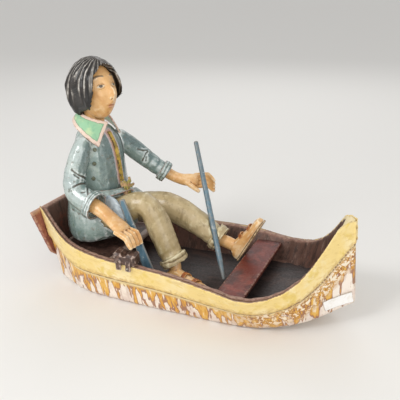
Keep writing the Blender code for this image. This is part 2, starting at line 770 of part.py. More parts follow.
def build_collar():
    # Half of a folded collar, from the back seam round the neck to its pointed tip
    neck = ((-0.1805, 0.000, 0.2640), (-0.1760, -0.0120, 0.2640), (-0.1640, -0.0210, 0.2610),
            (-0.1500, -0.0190, 0.2570), (-0.1400, -0.0110, 0.2540), (-0.1350, -0.0050, 0.2520))
    fall = ((-0.1905, 0.000, 0.2560), (-0.1870, -0.0180, 0.2545), (-0.1760, -0.0335, 0.2490),
            (-0.1605, -0.0395, 0.2405), (-0.1480, -0.0395, 0.2310), (-0.1365, -0.0320, 0.2205))
    shape = bmesh.new()
    rows = []
    for share in (0.0, 0.35, 1.0):
        lift = 0.0025 * math.sin(math.pi * share)
        rows.append([shape.verts.new(Vector(a).lerp(Vector(b), share) + Vector((0, 0, lift)))
                     for a, b in zip(neck, fall)])
    for upper, lower in zip(rows, rows[1:]):
        for i in range(len(upper) - 1):
            shape.faces.new((upper[i], lower[i], lower[i + 1], upper[i + 1]))
    mesh = bpy.data.meshes.new("collar")
    shape.to_mesh(mesh)
    shape.free()
    collar = add_object("collar", mesh, COLLAR_PAINT)
    mirror = collar.modifiers.new("other_half", 'MIRROR')
    mirror.use_axis = (False, True, False)
    mirror.merge_threshold = 0.0001
    subdivide(collar)
    collar.modifiers["round"].boundary_smooth = 'PRESERVE_CORNERS'
    shell = collar.modifiers.new("thickness", 'SOLIDIFY')
    shell.thickness = COLLAR_THICKNESS
    shell.offset = 1.0
    return collar


def build_placket(coat):
    # Strip down the front of the coat, between its two edges
    rings = []
    top, bottom = 0.238, 0.164
    for i in range(7):
        z = top + (bottom - top) * i / 6
        front = surface_point(coat, Vector((0.0, PLACKET_OFFSET, z)), Vector((-1, 0, 0)))[0]
        rings.append([front + Vector((depth, y, 0)) for depth, y in (
            (-0.006, -PLACKET_WIDTH / 2), (-0.006, PLACKET_WIDTH / 2),
            (PLACKET_THICKNESS, PLACKET_WIDTH / 2), (PLACKET_THICKNESS, -PLACKET_WIDTH / 2))])
    placket = add_object("shirt_front", loft("shirt_front", rings), YELLOW_PAINT)
    make_room(placket, coat)
    return placket


def build_buttons(coat):
    for number, (y, z) in enumerate(((-0.0220, 0.2165), (-0.0255, 0.1965), (-0.0300, 0.1745)), 1):
        name = "button_%d" % number
        outward = Vector((0.55, -0.83, 0.05)).normalized()
        seat, normal = surface_point(coat, Vector((-0.150, y, z)) + outward * 0.1, -outward)
        button = add_object(name, rod_mesh(name, BUTTON_RADIUS, BUTTON_RADIUS * 0.8, BUTTON_THICKNESS, 12),
                            BUTTON_PAINT)
        button.matrix_world = aim(seat + normal * FIT_GAP, normal, Vector((0, 0, 1)))


def build_knot():
    knot = add_object("waist_knot", limb("waist_knot", (
        ((-0.113, -0.010, 0.1660), 0.0040, 0.0040), ((-0.110, -0.010, 0.1600), 0.0065, 0.0060),
        ((-0.108, -0.009, 0.1540), 0.0060, 0.0060), ((-0.107, -0.009, 0.1490), 0.0035, 0.0040)), 6), SASH_PAINT)
    tails = (((-0.109, -0.009, 0.157), (-0.106, -0.001, 0.164), (-0.107, 0.001, 0.170)),
             ((-0.108, -0.010, 0.154), (-0.104, -0.018, 0.150), (-0.102, -0.021, 0.144)),
             ((-0.108, -0.009, 0.155), (-0.104, 0.000, 0.157), (-0.103, 0.006, 0.158)))
    for tail in tails:
        piece = add_object("knot_tail", limb("knot_tail", (
            (tail[0], 0.0035, 0.0035), (tail[1], 0.0040, 0.0028), (tail[2], 0.0024, 0.0018)), 6), None)
        combine(knot, piece, 'UNION')
    return knot


def sole_outline(length, width):
    # Heel, waist and ball of a sandal sole, heel at the origin
    half = ((0.0, 0.20), (0.05, 0.34), (0.25, 0.38), (0.50, 0.36), (0.75, 0.50), (0.93, 0.46), (1.0, 0.34))
    outline = [(x * length, y * width) for x, y in half]
    return outline + [(x, -y) for x, y in reversed(outline)]


def build_foot(side_name, placement, shin_end, material_strap):
    # Sole in the foot's own frame: heel at the origin, toes along +X, instep along +Z
    name = "sandal_sole_" + side_name
    outline = sole_outline(FOOT_LENGTH, FOOT_WIDTH)
    rings = [[Vector((x, y, z)) for x, y in outline] for z in (0.0, SOLE_THICKNESS)]
    sole = add_object(name, loft(name, rings), SOLE_PAINT)
    sole.matrix_world = placement
    lift = SOLE_THICKNESS + FIT_GAP
    sections = ((0.03, 0.26, 0.45), (0.12, 0.36, 0.85), (0.32, 0.36, 1.0), (0.52, 0.38, 0.80),
                (0.74, 0.44, 0.60), (0.92, 0.42, 0.52), (0.995, 0.34, 0.44))
    rings = []
    for along_foot, half, height in sections:
        ring = []
        for y, z in ((-0.85, 0.0), (0.85, 0.0), (1.0, 0.35), (0.72, 0.85), (0.0, 1.0), (-0.72, 0.85), (-1.0, 0.35)):
            ring.append(Vector((along_foot * FOOT_LENGTH, y * half * FOOT_WIDTH,
                                lift + z * height * FOOT_HEIGHT)))
        rings.append(ring)
    foot = add_object("foot_" + side_name, loft("foot_" + side_name, rings, 50.0), SKIN_PAINT)
    foot.matrix_world = placement
    ankle_low = placement @ Vector((FOOT_LENGTH * 0.24, 0, lift + FOOT_HEIGHT * 0.45))
    ankle = add_object("ankle", limb("ankle", (
        (shin_end, 0.0105, 0.0105), (shin_end.lerp(ankle_low, 0.5), 0.0095, 0.0105),
        (ankle_low, 0.0085, 0.0105)), 10), None)
    subdivide(ankle)
    combine(foot, ankle, 'UNION')
    straps = []
    for number, place in enumerate((0.50, 0.74), 1):
        strap_name = "strap_%s_%d" % (side_name, number)
        strap = add_object(strap_name, strap_mesh(strap_name, place, lift), material_strap)
        strap.matrix_world = placement
        straps.append(strap)
    return foot, sole, straps


def strap_mesh(name, place, lift):
    # Arch over the instep from one edge of the sole to the other
    tall = FOOT_HEIGHT * (1.36 - 0.86 * place)
    half = FOOT_WIDTH * (0.30 + 0.20 * place) + STRAP_THICKNESS
    rings = []
    for x in (-STRAP_WIDTH / 2, STRAP_WIDTH / 2):
        ring = []
        for grow in (0.0, STRAP_THICKNESS):
            arch = []
            for k in range(7):
                angle = math.pi * k / 8
                arch.append(Vector((place * FOOT_LENGTH + x, math.cos(angle) * (half - 0.001 + grow),
                                    lift + math.sin(angle) * (tall - 0.001 + grow * 1.4))))
            ring += arch if grow == 0.0 else list(reversed(arch))
        rings.append(ring)
    return loft(name, rings, 50.0)


def build_hem():
    # Lower edge of the coat's front, flaring out over the lap
    upper = ((-0.150, -0.046, 0.160), (-0.128, -0.043, 0.159), (-0.117, -0.028, 0.158), (-0.111, -0.010, 0.157),
             (-0.111, 0.010, 0.154), (-0.112, 0.028, 0.151), (-0.116, 0.043, 0.147))
    lower = ((-0.148, -0.058, 0.147), (-0.120, -0.056, 0.150), (-0.105, -0.038, 0.153), (-0.100, -0.012, 0.152),
             (-0.097, 0.014, 0.149), (-0.090, 0.034, 0.1455), (-0.094, 0.050, 0.1410))
    rings = []
    for a, b in zip(upper, lower):
        thick = Vector((0, 0, HEM_THICKNESS))
        rings.append([Vector(a), Vector(b), Vector(b) + thick, Vector(a) + thick])
    hem = add_object("coat_hem", loft("coat_hem", rings, 50.0), COAT_PAINT)
    subdivide(hem)
    return hem


def build_shirt_tail():
    # Pale shirt tail that hangs out from under the coat onto the right thigh
    tail = add_object("shirt_tail", limb("shirt_tail", (
        ((-0.121, -0.046, 0.1450), 0.0040, 0.0120), ((-0.108, -0.050, 0.1420), 0.0050, 0.0130),
        ((-0.098, -0.053, 0.1340), 0.0050, 0.0110), ((-0.092, -0.054, 0.1240), 0.0045, 0.0080),
        ((-0.090, -0.053, 0.1180), 0.0025, 0.0040)), 8), SHIRT_PAINT)
    return tail


# Assembly

def build_boat():
    hull = build_hull()
    floor = build_floor_board()
    plank_between_sides("thwart", THWART_AFT, THWART_AFT + THWART_WIDTH,
                        THWART_LEVEL, THWART_THICKNESS, THWART_STAIN, hull)
    seat_aft = stern_x(SEAT_LEVEL) + HULL_WALL + SEAT_STERN_GAP
    plank_between_sides("stern_seat", seat_aft, seat_aft + SEAT_WIDTH,
                        SEAT_LEVEL, SEAT_THICKNESS, OLD_WOOD, hull)
    build_stern_board()
    for name, side in (("starboard", STARBOARD), ("port", PORT)):
        rail = build_rail("rail_" + name, side)
        rowlock = build_rowlock("rowlock_" + name, side, hull, rail)
        build_nail("rowlock_nail_" + name, side, rowlock)
    blade = build_blade_oar()
    make_room(blade, floor)
    return blade, build_pole_oar()


def build_figure(blade, pole):
    head = build_head()
    hair = build_hair()
    trousers = build_trousers()
    coat = build_coat()
    make_room(coat, trousers, head, growth=WIDE_GAP)
    collar = build_collar()
    make_room(collar, head, coat)
    make_room(hair, collar)
    placket = build_placket(coat)
    make_room(placket, collar)
    build_buttons(coat)
    hem = build_hem()
    make_room(hem, coat, placket, trousers)
    tail = build_shirt_tail()
    make_room(tail, coat, trousers, hem)
    make_room(tail, blade)
    knot = build_knot()
    make_room(knot, coat, placket, trousers, hem)

    right_arm = (((-0.144, -0.069, 0.152), 0.0110, 0.0110), ((-0.122, -0.071, 0.1460), 0.0130, 0.0125),
                 ((-0.103, -0.0745, 0.1380), 0.0115, 0.0100), ((-0.090, -0.079, 0.1315), 0.0145, 0.0090),
                 ((-0.076, -0.083, 0.1250), 0.0165, 0.0088), ((-0.068, -0.084, 0.1215), 0.0155, 0.0075))
    right_fingers = []
    for number in range(4):
        spread = 0.0122 - 0.0079 * number
        root = Vector((-0.0790, -0.083 - spread, 0.1245 - 0.0012 * number))
        knuckle = Vector((-0.0610 + 0.0012 * number, -0.0845 - spread, 0.1175))
        tip = Vector((-0.0540 + 0.0015 * number, -0.0850 - spread * 0.9, 0.1020))
        right_fingers.append(finger_spine(root, knuckle, tip, 0.0047))
    right_fingers.append(finger_spine((-0.090, -0.072, 0.130), (-0.077, -0.0665, 0.121),
                                      (-0.068, -0.068, 0.110), 0.0042))
    hand_right = build_hand("hand_right", right_arm, right_fingers)

    left_arm = (((-0.108, 0.0600, 0.182), 0.0090, 0.0090), ((-0.082, 0.0690, 0.161), 0.0105, 0.0105),
                ((-0.061, 0.0745, 0.150), 0.0085, 0.0090), ((-0.050, 0.0780, 0.1485), 0.0080, 0.0112),
                ((-0.036, 0.0820, 0.1480), 0.0070, 0.0125), ((-0.028, 0.0840, 0.1480), 0.0060, 0.0110))
    left_fingers = []
    for number in range(4):
        drop = 0.0060 * number
        root = Vector((-0.036, 0.0830, 0.1565 - drop))
        knuckle = Vector((-0.0150, 0.0895, 0.1580 - drop * 1.05))
        tip = Vector((-0.0030, 0.0860, 0.1490 - drop * 0.9))
        left_fingers.append(finger_spine(root, knuckle, tip, 0.0040))
    left_fingers.append(finger_spine((-0.052, 0.0760, 0.1470), (-0.0350, 0.0700, 0.1420),
                                     (-0.0215, 0.0690, 0.1350), 0.0042))
    hand_left = build_hand("hand_left", left_arm, left_fingers)

    right_spine = (((-0.157, -0.026, 0.236), 0.0140, 0.0130), ((-0.159, -0.040, 0.220), 0.0175, 0.0165),
                   ((-0.163, -0.052, 0.194), 0.0185, 0.0180), ((-0.165, -0.0610, 0.170), 0.0190, 0.0195),
                   ((-0.155, -0.0660, 0.156), 0.0195, 0.0205), ((-0.139, -0.0690, 0.1505), 0.0190, 0.0200),
                   ((-0.123, -0.0710, 0.1460), 0.0185, 0.0195))
    left_spine = (((-0.150, 0.024, 0.230), 0.0150, 0.0150), ((-0.134, 0.042, 0.210), 0.0165, 0.0175),
                  ((-0.110, 0.058, 0.184), 0.0155, 0.0165), ((-0.093, 0.065, 0.1695), 0.0145, 0.0150),
                  ((-0.080, 0.0695, 0.1600), 0.0140, 0.0145))
    for name, spine, hand in (("right", right_spine, hand_right), ("left", left_spine, hand_left)):
        sleeve = build_sleeve("sleeve_" + name, spine)
        make_room(sleeve, coat, hand)
        make_room(sleeve, collar, hem)
        end, inside = Vector(spine[-1][0]), Vector(spine[-2][0])
        outward = (end - inside).normalized()
        cuff = build_band("cuff_" + name, end - outward * CUFF_WIDTH * 0.75, outward,
                          spine[-1][1] + 0.0010, CUFF_WIDTH, CUFF_THICKNESS, COAT_PAINT)
        make_room(cuff, sleeve, hand, coat, hem, tail)

    right_place = Matrix.Translation((-0.030, -0.0345, FLOOR_LEVEL + FIT_GAP)) @ Matrix.Rotation(
        math.radians(-22), 4, 'Z')
    left_place = Matrix.Translation((0.0575, 0.033, 0.0475)) @ Matrix.Rotation(math.radians(-61), 4, 'Y')
    for name, place, shin in (("right", right_place, Vector((-0.022, -0.0315, 0.070))),
                              ("left", left_place, Vector((0.020, 0.0350, 0.0790)))):
        foot, sole, straps = build_foot(name, place, shin, STRAP_PAINT)
        make_room(trousers, foot, growth=WIDE_GAP)
        make_room(foot, pole)
        for strap in straps:
            make_room(strap, foot, sole)
    right_cuff = build_band("trouser_cuff_right", Vector((-0.0235, -0.0315, 0.0695)),
                            Vector((0.010, -0.001, -0.016)), 0.0192, TROUSER_CUFF_WIDTH,
                            TROUSER_CUFF_THICKNESS, CLOTH_PAINT)
    left_cuff = build_band("trouser_cuff_left", Vector((0.0165, 0.0350, 0.0825)),
                           Vector((0.016, 0.0, -0.009)), 0.0190, TROUSER_CUFF_WIDTH,
                           TROUSER_CUFF_THICKNESS, CLOTH_PAINT)
    make_room(right_cuff, trousers)
    make_room(left_cuff, trousers, pole)
    make_room(trousers, pole)


clear_scene()
PARTS = new_collection("man_in_boat_figurine")
CUTTERS = new_collection("cutters")
OLD_WOOD = paint("old_wood", (0.16, 0.10, 0.07), 0.65)
RAIL_PAINT = paint("rail_paint", (0.72, 0.55, 0.24), 0.5)
FLOOR_STAIN = paint("floor_stain", (0.10, 0.08, 0.07), 0.6)
THWART_STAIN = paint("thwart_stain", (0.16, 0.04, 0.03), 0.45)
BOARD_STAIN = paint("board_stain", (0.25, 0.08, 0.06), 0.55)
DARK_WOOD = paint("dark_wood", (0.10, 0.06, 0.04), 0.6)
STEEL = paint("steel", (0.6, 0.6, 0.58), 0.3, 1.0)
OAR_PAINT = paint("oar_paint", (0.09, 0.17, 0.22), 0.4)
COAT_PAINT = paint("coat_paint", (0.14, 0.22, 0.23), 0.4)
CLOTH_PAINT = paint("cloth_paint", (0.33, 0.29, 0.16), 0.5)
SKIN_PAINT = paint("skin_paint", (0.58, 0.31, 0.13), 0.45)
HAIR_PAINT = paint("hair_paint", (0.02, 0.02, 0.02), 0.3)
COLLAR_PAINT = paint("collar_paint", (0.30, 0.55, 0.38), 0.4)
SHIRT_PAINT = paint("shirt_paint", (0.45, 0.50, 0.50), 0.5)
YELLOW_PAINT = paint("yellow_paint", (0.55, 0.42, 0.10), 0.5)
SASH_PAINT = paint("sash_paint", (0.45, 0.30, 0.14), 0.55)
BUTTON_PAINT = paint("button_paint", (0.10, 0.09, 0.04), 0.4)
SOLE_PAINT = paint("sole_paint", (0.62, 0.48, 0.32), 0.6)
STRAP_PAINT = paint("strap_paint", (0.45, 0.18, 0.06), 0.5)

build_figure(*build_boat())
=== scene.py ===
import math

import bmesh
import bpy
import numpy as np
from mathutils import Matrix, Vector, noise
from mathutils.bvhtree import BVHTree
from mathutils.kdtree import KDTree
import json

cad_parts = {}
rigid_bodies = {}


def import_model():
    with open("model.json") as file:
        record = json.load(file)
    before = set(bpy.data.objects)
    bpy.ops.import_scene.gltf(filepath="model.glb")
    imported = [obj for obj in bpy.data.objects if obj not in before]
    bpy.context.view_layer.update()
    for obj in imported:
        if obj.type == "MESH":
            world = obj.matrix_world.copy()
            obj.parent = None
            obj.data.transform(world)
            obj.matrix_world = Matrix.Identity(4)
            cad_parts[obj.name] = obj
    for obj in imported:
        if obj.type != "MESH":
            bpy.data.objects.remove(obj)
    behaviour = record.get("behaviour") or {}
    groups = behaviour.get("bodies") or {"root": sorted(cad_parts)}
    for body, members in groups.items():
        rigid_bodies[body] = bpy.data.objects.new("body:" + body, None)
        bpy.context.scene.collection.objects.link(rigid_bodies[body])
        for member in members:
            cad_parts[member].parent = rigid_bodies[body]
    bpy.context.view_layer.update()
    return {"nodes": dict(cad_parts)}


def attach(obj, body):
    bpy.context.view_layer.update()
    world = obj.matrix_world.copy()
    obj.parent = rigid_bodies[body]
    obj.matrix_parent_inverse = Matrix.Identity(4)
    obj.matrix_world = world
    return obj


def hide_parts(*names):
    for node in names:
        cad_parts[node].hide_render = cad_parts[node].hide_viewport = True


for leftOver in list(bpy.data.objects):
    bpy.data.objects.remove(leftOver)
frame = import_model()
nodes = frame["nodes"]
print("frame loaded:", len(nodes), "solids")


# Shader building blocks

def tint(code):
    # Linear colour from a six-figure colour code
    channels = [int(code[i:i + 2], 16) / 255 for i in (0, 2, 4)]
    linear = [c / 12.92 if c < 0.0405 else ((c + 0.055) / 1.055) ** 2.4 for c in channels]
    return (*linear, 1.0)


def put(tree, kind, sockets=None, **settings):
    # New shader node: what is itself a socket is linked, and any other value is set
    item = tree.nodes.new("ShaderNode" + kind)
    for name, value in settings.items():
        setattr(item, name, value)
    for name, value in (sockets or {}).items():
        if isinstance(value, bpy.types.NodeSocket):
            tree.links.new(value, item.inputs[name])
        else:
            item.inputs[name].default_value = value
    return item


def over(tree, below, above, mask):
    # One colour laid over another where the mask is bright
    return put(tree, "Mix", {0: mask, 6: below, 7: above}, data_type='RGBA').outputs[2]


def span(tree, value, low, high, toLow=0.0, toHigh=1.0):
    sockets = {"Value": value, "From Min": low, "From Max": high, "To Min": toLow, "To Max": toHigh}
    return put(tree, "MapRange", sockets, interpolation_type='SMOOTHSTEP').outputs["Result"]


def calc(tree, how, *values, clamped=False):
    return put(tree, "Math", dict(enumerate(values)), operation=how, use_clamp=clamped).outputs[0]


def product(tree, a, b):
    # Kept between 0 and 1, for masks
    return calc(tree, 'MULTIPLY', a, b, clamped=True)


def attributeOf(tree, name):
    return put(tree, "Attribute", attribute_name=name).outputs["Fac"]


def noiseOf(tree, place, scale, detail, roughness, distortion=0.0):
    return put(tree, "TexNoise", {"Vector": place, "Scale": scale, "Detail": detail,
                                  "Roughness": roughness, "Distortion": distortion}).outputs[0]


def stretched(tree, place, factors):
    return put(tree, "VectorMath", {0: place, 1: factors}, operation='MULTIPLY').outputs[0]


def newGroup(name, inputs, outputs):
    # Empty group that reads a place and its own named values, and puts out masks
    group = bpy.data.node_groups.new(name, 'ShaderNodeTree')
    for label, value in {"Vector": (0, 0, 0), **inputs}.items():
        kind = "NodeSocketVector" if isinstance(value, tuple) else "NodeSocketFloat"
        socket = group.interface.new_socket(name=label, in_out='INPUT', socket_type=kind)
        socket.default_value = value
    for label in outputs:
        group.interface.new_socket(name=label, in_out='OUTPUT', socket_type="NodeSocketFloat")
    given = group.nodes.new("NodeGroupInput").outputs
    return group, given, group.nodes.new("NodeGroupOutput").inputs


def makeNoiseGroup(name, detail, roughness, distortion, **inputs):
    # Clouds of hand-mixed paint, or strokes and grain where they are drawn out one way
    group, given, out = newGroup(name, {**inputs, "Low": 0.4, "High": 0.6}, ["Mask"])
    place = given["Vector"]
    if "Stretch" in inputs:
        place = stretched(group, place, given["Stretch"])
    patches = noiseOf(group, place, given["Scale"], detail, roughness, distortion)
    group.links.new(span(group, patches, given["Low"], given["High"]), out["Mask"])
    return group


wearFacts = {"chipScale": 190.0, "softness": 0.22}


def makeWearGroup():
    # Dark glaze left in the hollows and paint rubbed from the raised places
    group, given, out = newGroup(
        "wear", {"Relief": 0.5, "Hollow": 0.4, "Raised": 0.6, "Break": 0.3}, ["Glaze", "Rub"])
    chips = noiseOf(group, given["Vector"], wearFacts["chipScale"], 4.0, 0.7)
    chips = calc(group, 'SUBTRACT', chips, 0.5)
    uneven = calc(group, 'MULTIPLY_ADD', chips, given["Break"], given["Relief"])
    for label, edge, how in (("Glaze", "Hollow", 'SUBTRACT'), ("Rub", "Raised", 'ADD')):
        end = calc(group, how, given[edge], wearFacts["softness"])
        group.links.new(span(group, uneven, given[edge], end), out[label])
    return group


dripFacts = {"stretch": (1.0, 0.45, 0.17), "thinning": 0.25, "softness": 0.02, "top": (0.07, 0.15)}


def makeDripGroup():
    # Runs of thin paint: narrow across the boat's side, long down it, cut off at ragged lengths
    group, given, out = newGroup("drips", {"Drop": 0.5, "Scale": 90.0, "Width": 0.5}, ["Mask"])
    thin = stretched(group, given["Vector"], dripFacts["stretch"])
    runs = noiseOf(group, thin, given["Scale"], 3.0, 0.5, 0.3)
    falling = product(group, given["Drop"], dripFacts["thinning"])
    level = calc(group, 'ADD', given["Width"], falling)
    wet = span(group, runs, level, calc(group, 'ADD', level, dripFacts["softness"]))
    started = span(group, given["Drop"], *dripFacts["top"])
    group.links.new(product(group, wet, started), out["Mask"])
    return group


groups = {
    "mottle": makeNoiseGroup("mottle", 5.0, 0.62, 0.35, Scale=40.0),
    "strokes": makeNoiseGroup("strokes", 6.0, 0.7, 0.2, Stretch=(1, 1, 1), Scale=60.0),
    "wear": makeWearGroup(),
    "drips": makeDripGroup()}


def placeGroup(tree, name, **sockets):
    return put(tree, "Group", sockets, node_tree=groups[name]).outputs


maskSockets = {"mottle": ("Scale", "Low", "High"), "strokes": ("Stretch", "Scale", "Low", "High"),
               "drips": ("Scale", "Width")}
raggedEdge = {"Scale": 170.0, "Low": 0.3, "High": 0.7}


def maskOf(tree, place, kind, facts):
    # Each kind of paint layer has its own mask, and any other kind is an attribute's name
    if kind in maskSockets:
        sockets = dict(zip(maskSockets[kind], facts))
        if kind == "drips":
            sockets["Drop"] = attributeOf(tree, "drop")
        return placeGroup(tree, kind, Vector=place, **sockets)["Mask"]
    if kind in ("glaze", "rub"):
        level, uneven = facts
        wear = placeGroup(tree, "wear", Vector=place, Relief=attributeOf(tree, "relief"),
                          Hollow=level, Raised=level, Break=uneven)
        return wear[kind.capitalize()]
    if kind == "spots":
        name, *patch = facts
        return product(tree, maskOf(tree, place, "mottle", patch), attributeOf(tree, name))
    low, high, ragged = facts
    broken = placeGroup(tree, "mottle", Vector=place, **raggedEdge)["Mask"]
    uneven = calc(tree, 'MULTIPLY', calc(tree, 'SUBTRACT', broken, 0.5), ragged)
    return span(tree, calc(tree, 'ADD', attributeOf(tree, kind), uneven), low, high)


usualLook = {"rough": (0.3, 0.5), "bump": 0.3, "depth": 0.0005, "fineScale": 320.0,
             "varnish": 0.0, "polish": 0.25, "metal": 0.0}


def paintFinish(name, look):
    # A paint or stain: a base colour, then layers of (kind, colour, strength, facts)
    look = {**usualLook, **look}
    material = bpy.data.materials.new(name)
    material.use_nodes = True
    tree = material.node_tree
    shader = tree.nodes["Principled BSDF"]
    place = put(tree, "TexCoord").outputs["Object"]
    colour = tint(look["base"])
    for kind, code, strength, *facts in look["layers"]:
        mask = product(tree, maskOf(tree, place, kind, facts), strength)
        colour = over(tree, colour, tint(code), mask)
    tree.links.new(colour, shader.inputs["Base Color"])
    fine = noiseOf(tree, place, look["fineScale"], 5.0, 0.65)
    tree.links.new(span(tree, fine, 0.3, 0.7, *look["rough"]), shader.inputs["Roughness"])
    height = fine
    if "grain" in look:
        stretch, scale, share = look["grain"]
        lines = maskOf(tree, place, "strokes", (stretch, scale, 0.25, 0.75))
        height = put(tree, "Mix", {0: share, 2: fine, 3: lines}).outputs[0]
    bump = put(tree, "Bump", {"Strength": look["bump"], "Distance": look["depth"],
                              "Height": height})
    tree.links.new(bump.outputs[0], shader.inputs["Normal"])
    for socket, fact in (("Coat Weight", "varnish"), ("Coat Roughness", "polish"),
                         ("Metallic", "metal")):
        shader.inputs[socket].default_value = look[fact]
    return material


def withLayers(look, *layers):
    return dict(look, layers=look["layers"] + list(layers))


# Mesh building blocks

def addObject(data):
    item = bpy.data.objects.new(data.name, data)
    bpy.context.scene.collection.objects.link(item)
    return item


def meshFrom(shape, name):
    mesh = bpy.data.meshes.new(name)
    shape.to_mesh(mesh)
    shape.free()
    return mesh


def mergedCopy(name, node):
    # Own copy of a solid, with its loose triangles joined
    shape = bmesh.new()
    shape.from_mesh(nodes[node].data)
    bmesh.ops.remove_doubles(shape, verts=shape.verts, dist=0.00001)
    return addObject(meshFrom(shape, name))


def evenMesh(piece, voxel):
    # Voxel remesh, applied at once
    shaper = piece.modifiers.new("even", 'REMESH')
    shaper.mode = 'VOXEL'
    shaper.voxel_size = voxel
    bpy.context.view_layer.update()
    modified = piece.evaluated_get(bpy.context.evaluated_depsgraph_get())
    finished = bpy.data.meshes.new_from_object(modified)
    piece.modifiers.clear()
    old = piece.data
    piece.data = finished
    bpy.data.meshes.remove(old)


def vectorsOf(items, key):
    flat = np.empty(len(items) * 3)
    items.foreach_get(key, flat)
    return flat.reshape(-1, 3)


def pointsOf(mesh):
    return vectorsOf(mesh.vertices, "co")


def normalsOf(mesh):
    return vectorsOf(mesh.vertex_normals, "vector")


def movePoints(mesh, points):
    mesh.vertices.foreach_set("co", points.ravel())
    mesh.update()


def evenedOut(mesh, values, steps):
    # Values averaged with their neighbours, some steps outward
    ends = np.empty(len(mesh.edges) * 2, dtype=np.int64)
    mesh.edges.foreach_get("vertices", ends)
    a, b = ends[0::2], ends[1::2]
    count = len(mesh.vertices)
    share = (np.bincount(a, minlength=count) + np.bincount(b, minlength=count))[:, None]
    for _ in range(steps):
        total = np.empty_like(values)
        for k in range(values.shape[1]):
            total[:, k] = np.bincount(a, values[b, k], count) + np.bincount(b, values[a, k], count)
        values = 0.5 * values + 0.5 * total / share
    return values


def setAttribute(mesh, name, values):
    layer = mesh.attributes.get(name) or mesh.attributes.new(name, 'FLOAT', 'POINT')
    layer.data.foreach_set("value", np.clip(values, 0.0, 1.0).astype(np.float32))


def cloud(points, size, seed):
    # Smooth noise from -1 to 1, with patches of about that size
    return np.array([noise.noise(p) for p in (points / size + seed).tolist()])


def ramp(values, low, high):
    t = np.clip((values - low) / (high - low), 0.0, 1.0)
    return t * t * (3 - 2 * t)


def spread(corners, step=0.001):
    # More points between each pair of neighbouring corners
    found = []
    for start, end in zip(corners, corners[1:]):
        count = max(int((end - start).length / step), 1)
        found += [start.lerp(end, i / count) for i in range(count + 1)]
    return found


def sharpPoints(mesh, angle=40.0, step=0.0008):
    # Points along a mesh's sharp edges, for finding what lies near a rim
    shape = bmesh.new()
    shape.from_mesh(mesh)
    found = []
    for edge in shape.edges:
        if len(edge.link_faces) == 2 and edge.calc_face_angle(0.0) > math.radians(angle):
            found += spread([v.co for v in edge.verts], step)
    shape.free()
    return found


def distanceTo(points, targets):
    tree = KDTree(len(targets))
    for i, target in enumerate(targets):
        tree.insert(target, i)
    tree.balance()
    return np.array([tree.find(p)[2] for p in points.tolist()])


usualCarving = {"soften": 2, "wobble": 0.00012, "wobbleSize": 0.006, "wobbleSeed": 3.7,
                "folds": (), "reach": 10, "reliefDepth": 0.0006}


def carve(piece, facts):
    # Even fine mesh, softened, with its own folds, then relief and rim values for the paint
    facts = {**usualCarving, **facts}
    edges = sharpPoints(piece.data) if "rim" in facts else []
    evenMesh(piece, facts["voxel"])
    mesh = piece.data
    points = evenedOut(mesh, pointsOf(mesh), facts["soften"])
    if "reshape" in facts:
        points = facts["reshape"](points)
    movePoints(mesh, points)
    heights = facts["wobble"] * cloud(points, facts["wobbleSize"], facts["wobbleSeed"])
    for fold in facts["folds"]:
        heights = heights + fold(points)
    points = points + normalsOf(mesh) * heights[:, None]
    movePoints(mesh, points)
    wide = evenedOut(mesh, points, facts["reach"])
    relief = ((points - wide) * normalsOf(mesh)).sum(1) / facts["reliefDepth"]
    setAttribute(mesh, "relief", 0.5 + 0.5 * evenedOut(mesh, relief[:, None], 1)[:, 0])
    if edges:
        setAttribute(mesh, "rim", distanceTo(points, edges) / facts["rim"])
    mesh.shade_smooth()
    return piece


def dress(piece, material, slot, *stoodFor):
    piece.data.materials.clear()
    piece.data.materials.append(material)
    if stoodFor:
        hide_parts(*stoodFor)
    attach(piece, "root")
    return piece


def carvedNode(name, node, slot, material, facts):
    return dress(carve(mergedCopy(name, node), facts), material, slot, node)


def fanFold(centre, axis, toward, count, depth, reach, sector, width, seed, sway=0.16):
    # Cut creases that spread from one point within a sector, seen along an axis
    axis = Vector(axis).normalized()
    u = (Vector(toward) - axis * axis.dot(Vector(toward))).normalized()
    v = axis.cross(u)
    step = 2 * sector / count

    def heights(points):
        away = points - np.array(centre)
        far = np.linalg.norm(away, axis=1)
        angle = np.arctan2(away @ np.array(v), away @ np.array(u))
        angle = angle + sway * cloud(points, 0.010, seed)
        crease = np.round(angle / step)
        aside = (angle - crease * step) * far
        length = reach * (0.72 + 0.28 * np.sin(2.4 * crease + seed))
        inside = np.abs(crease) <= count / 2
        line = np.exp(-(aside / width) ** 2) * np.exp(-(far / length) ** 4)
        line = line * ramp(far, 0.001, 0.006)
        return -depth * line * inside
    return heights


def cutLines(ways, y, axis, width, depth):
    # Cut lines through some points (x, z) of an upright plane, seen along an axis
    axis = np.array(Vector(axis).normalized())
    steps = [p for way in ways for p in spread([Vector((x, y, z)) for x, z in way], 0.0006)]
    flat = np.array([list(p) for p in steps])
    flat = flat - np.outer(flat @ axis, axis)

    def heights(points):
        seen = points - np.outer(points @ axis, axis)
        near = distanceTo(seen, [Vector(p) for p in flat.tolist()])
        return -depth * np.exp(-(near / width) ** 2)
    return heights


def ringFold(start, end, count, depth, seed, slant=0.0, sway=0.45):
    # Creases across a limb, between two points along it
    start, end = np.array(start), np.array(end)
    length = np.linalg.norm(end - start)
    way = (end - start) / length

    def heights(points):
        along = (points - start) @ way / length
        phase = along * count + sway * cloud(points, 0.016, seed) + slant * points[:, 2] / 0.02
        wave = (0.5 - 0.5 * np.cos(math.tau * phase)) ** 2
        return -depth * wave * ramp(along, -0.05, 0.12) * ramp(1 - along, -0.05, 0.12)
    return heights


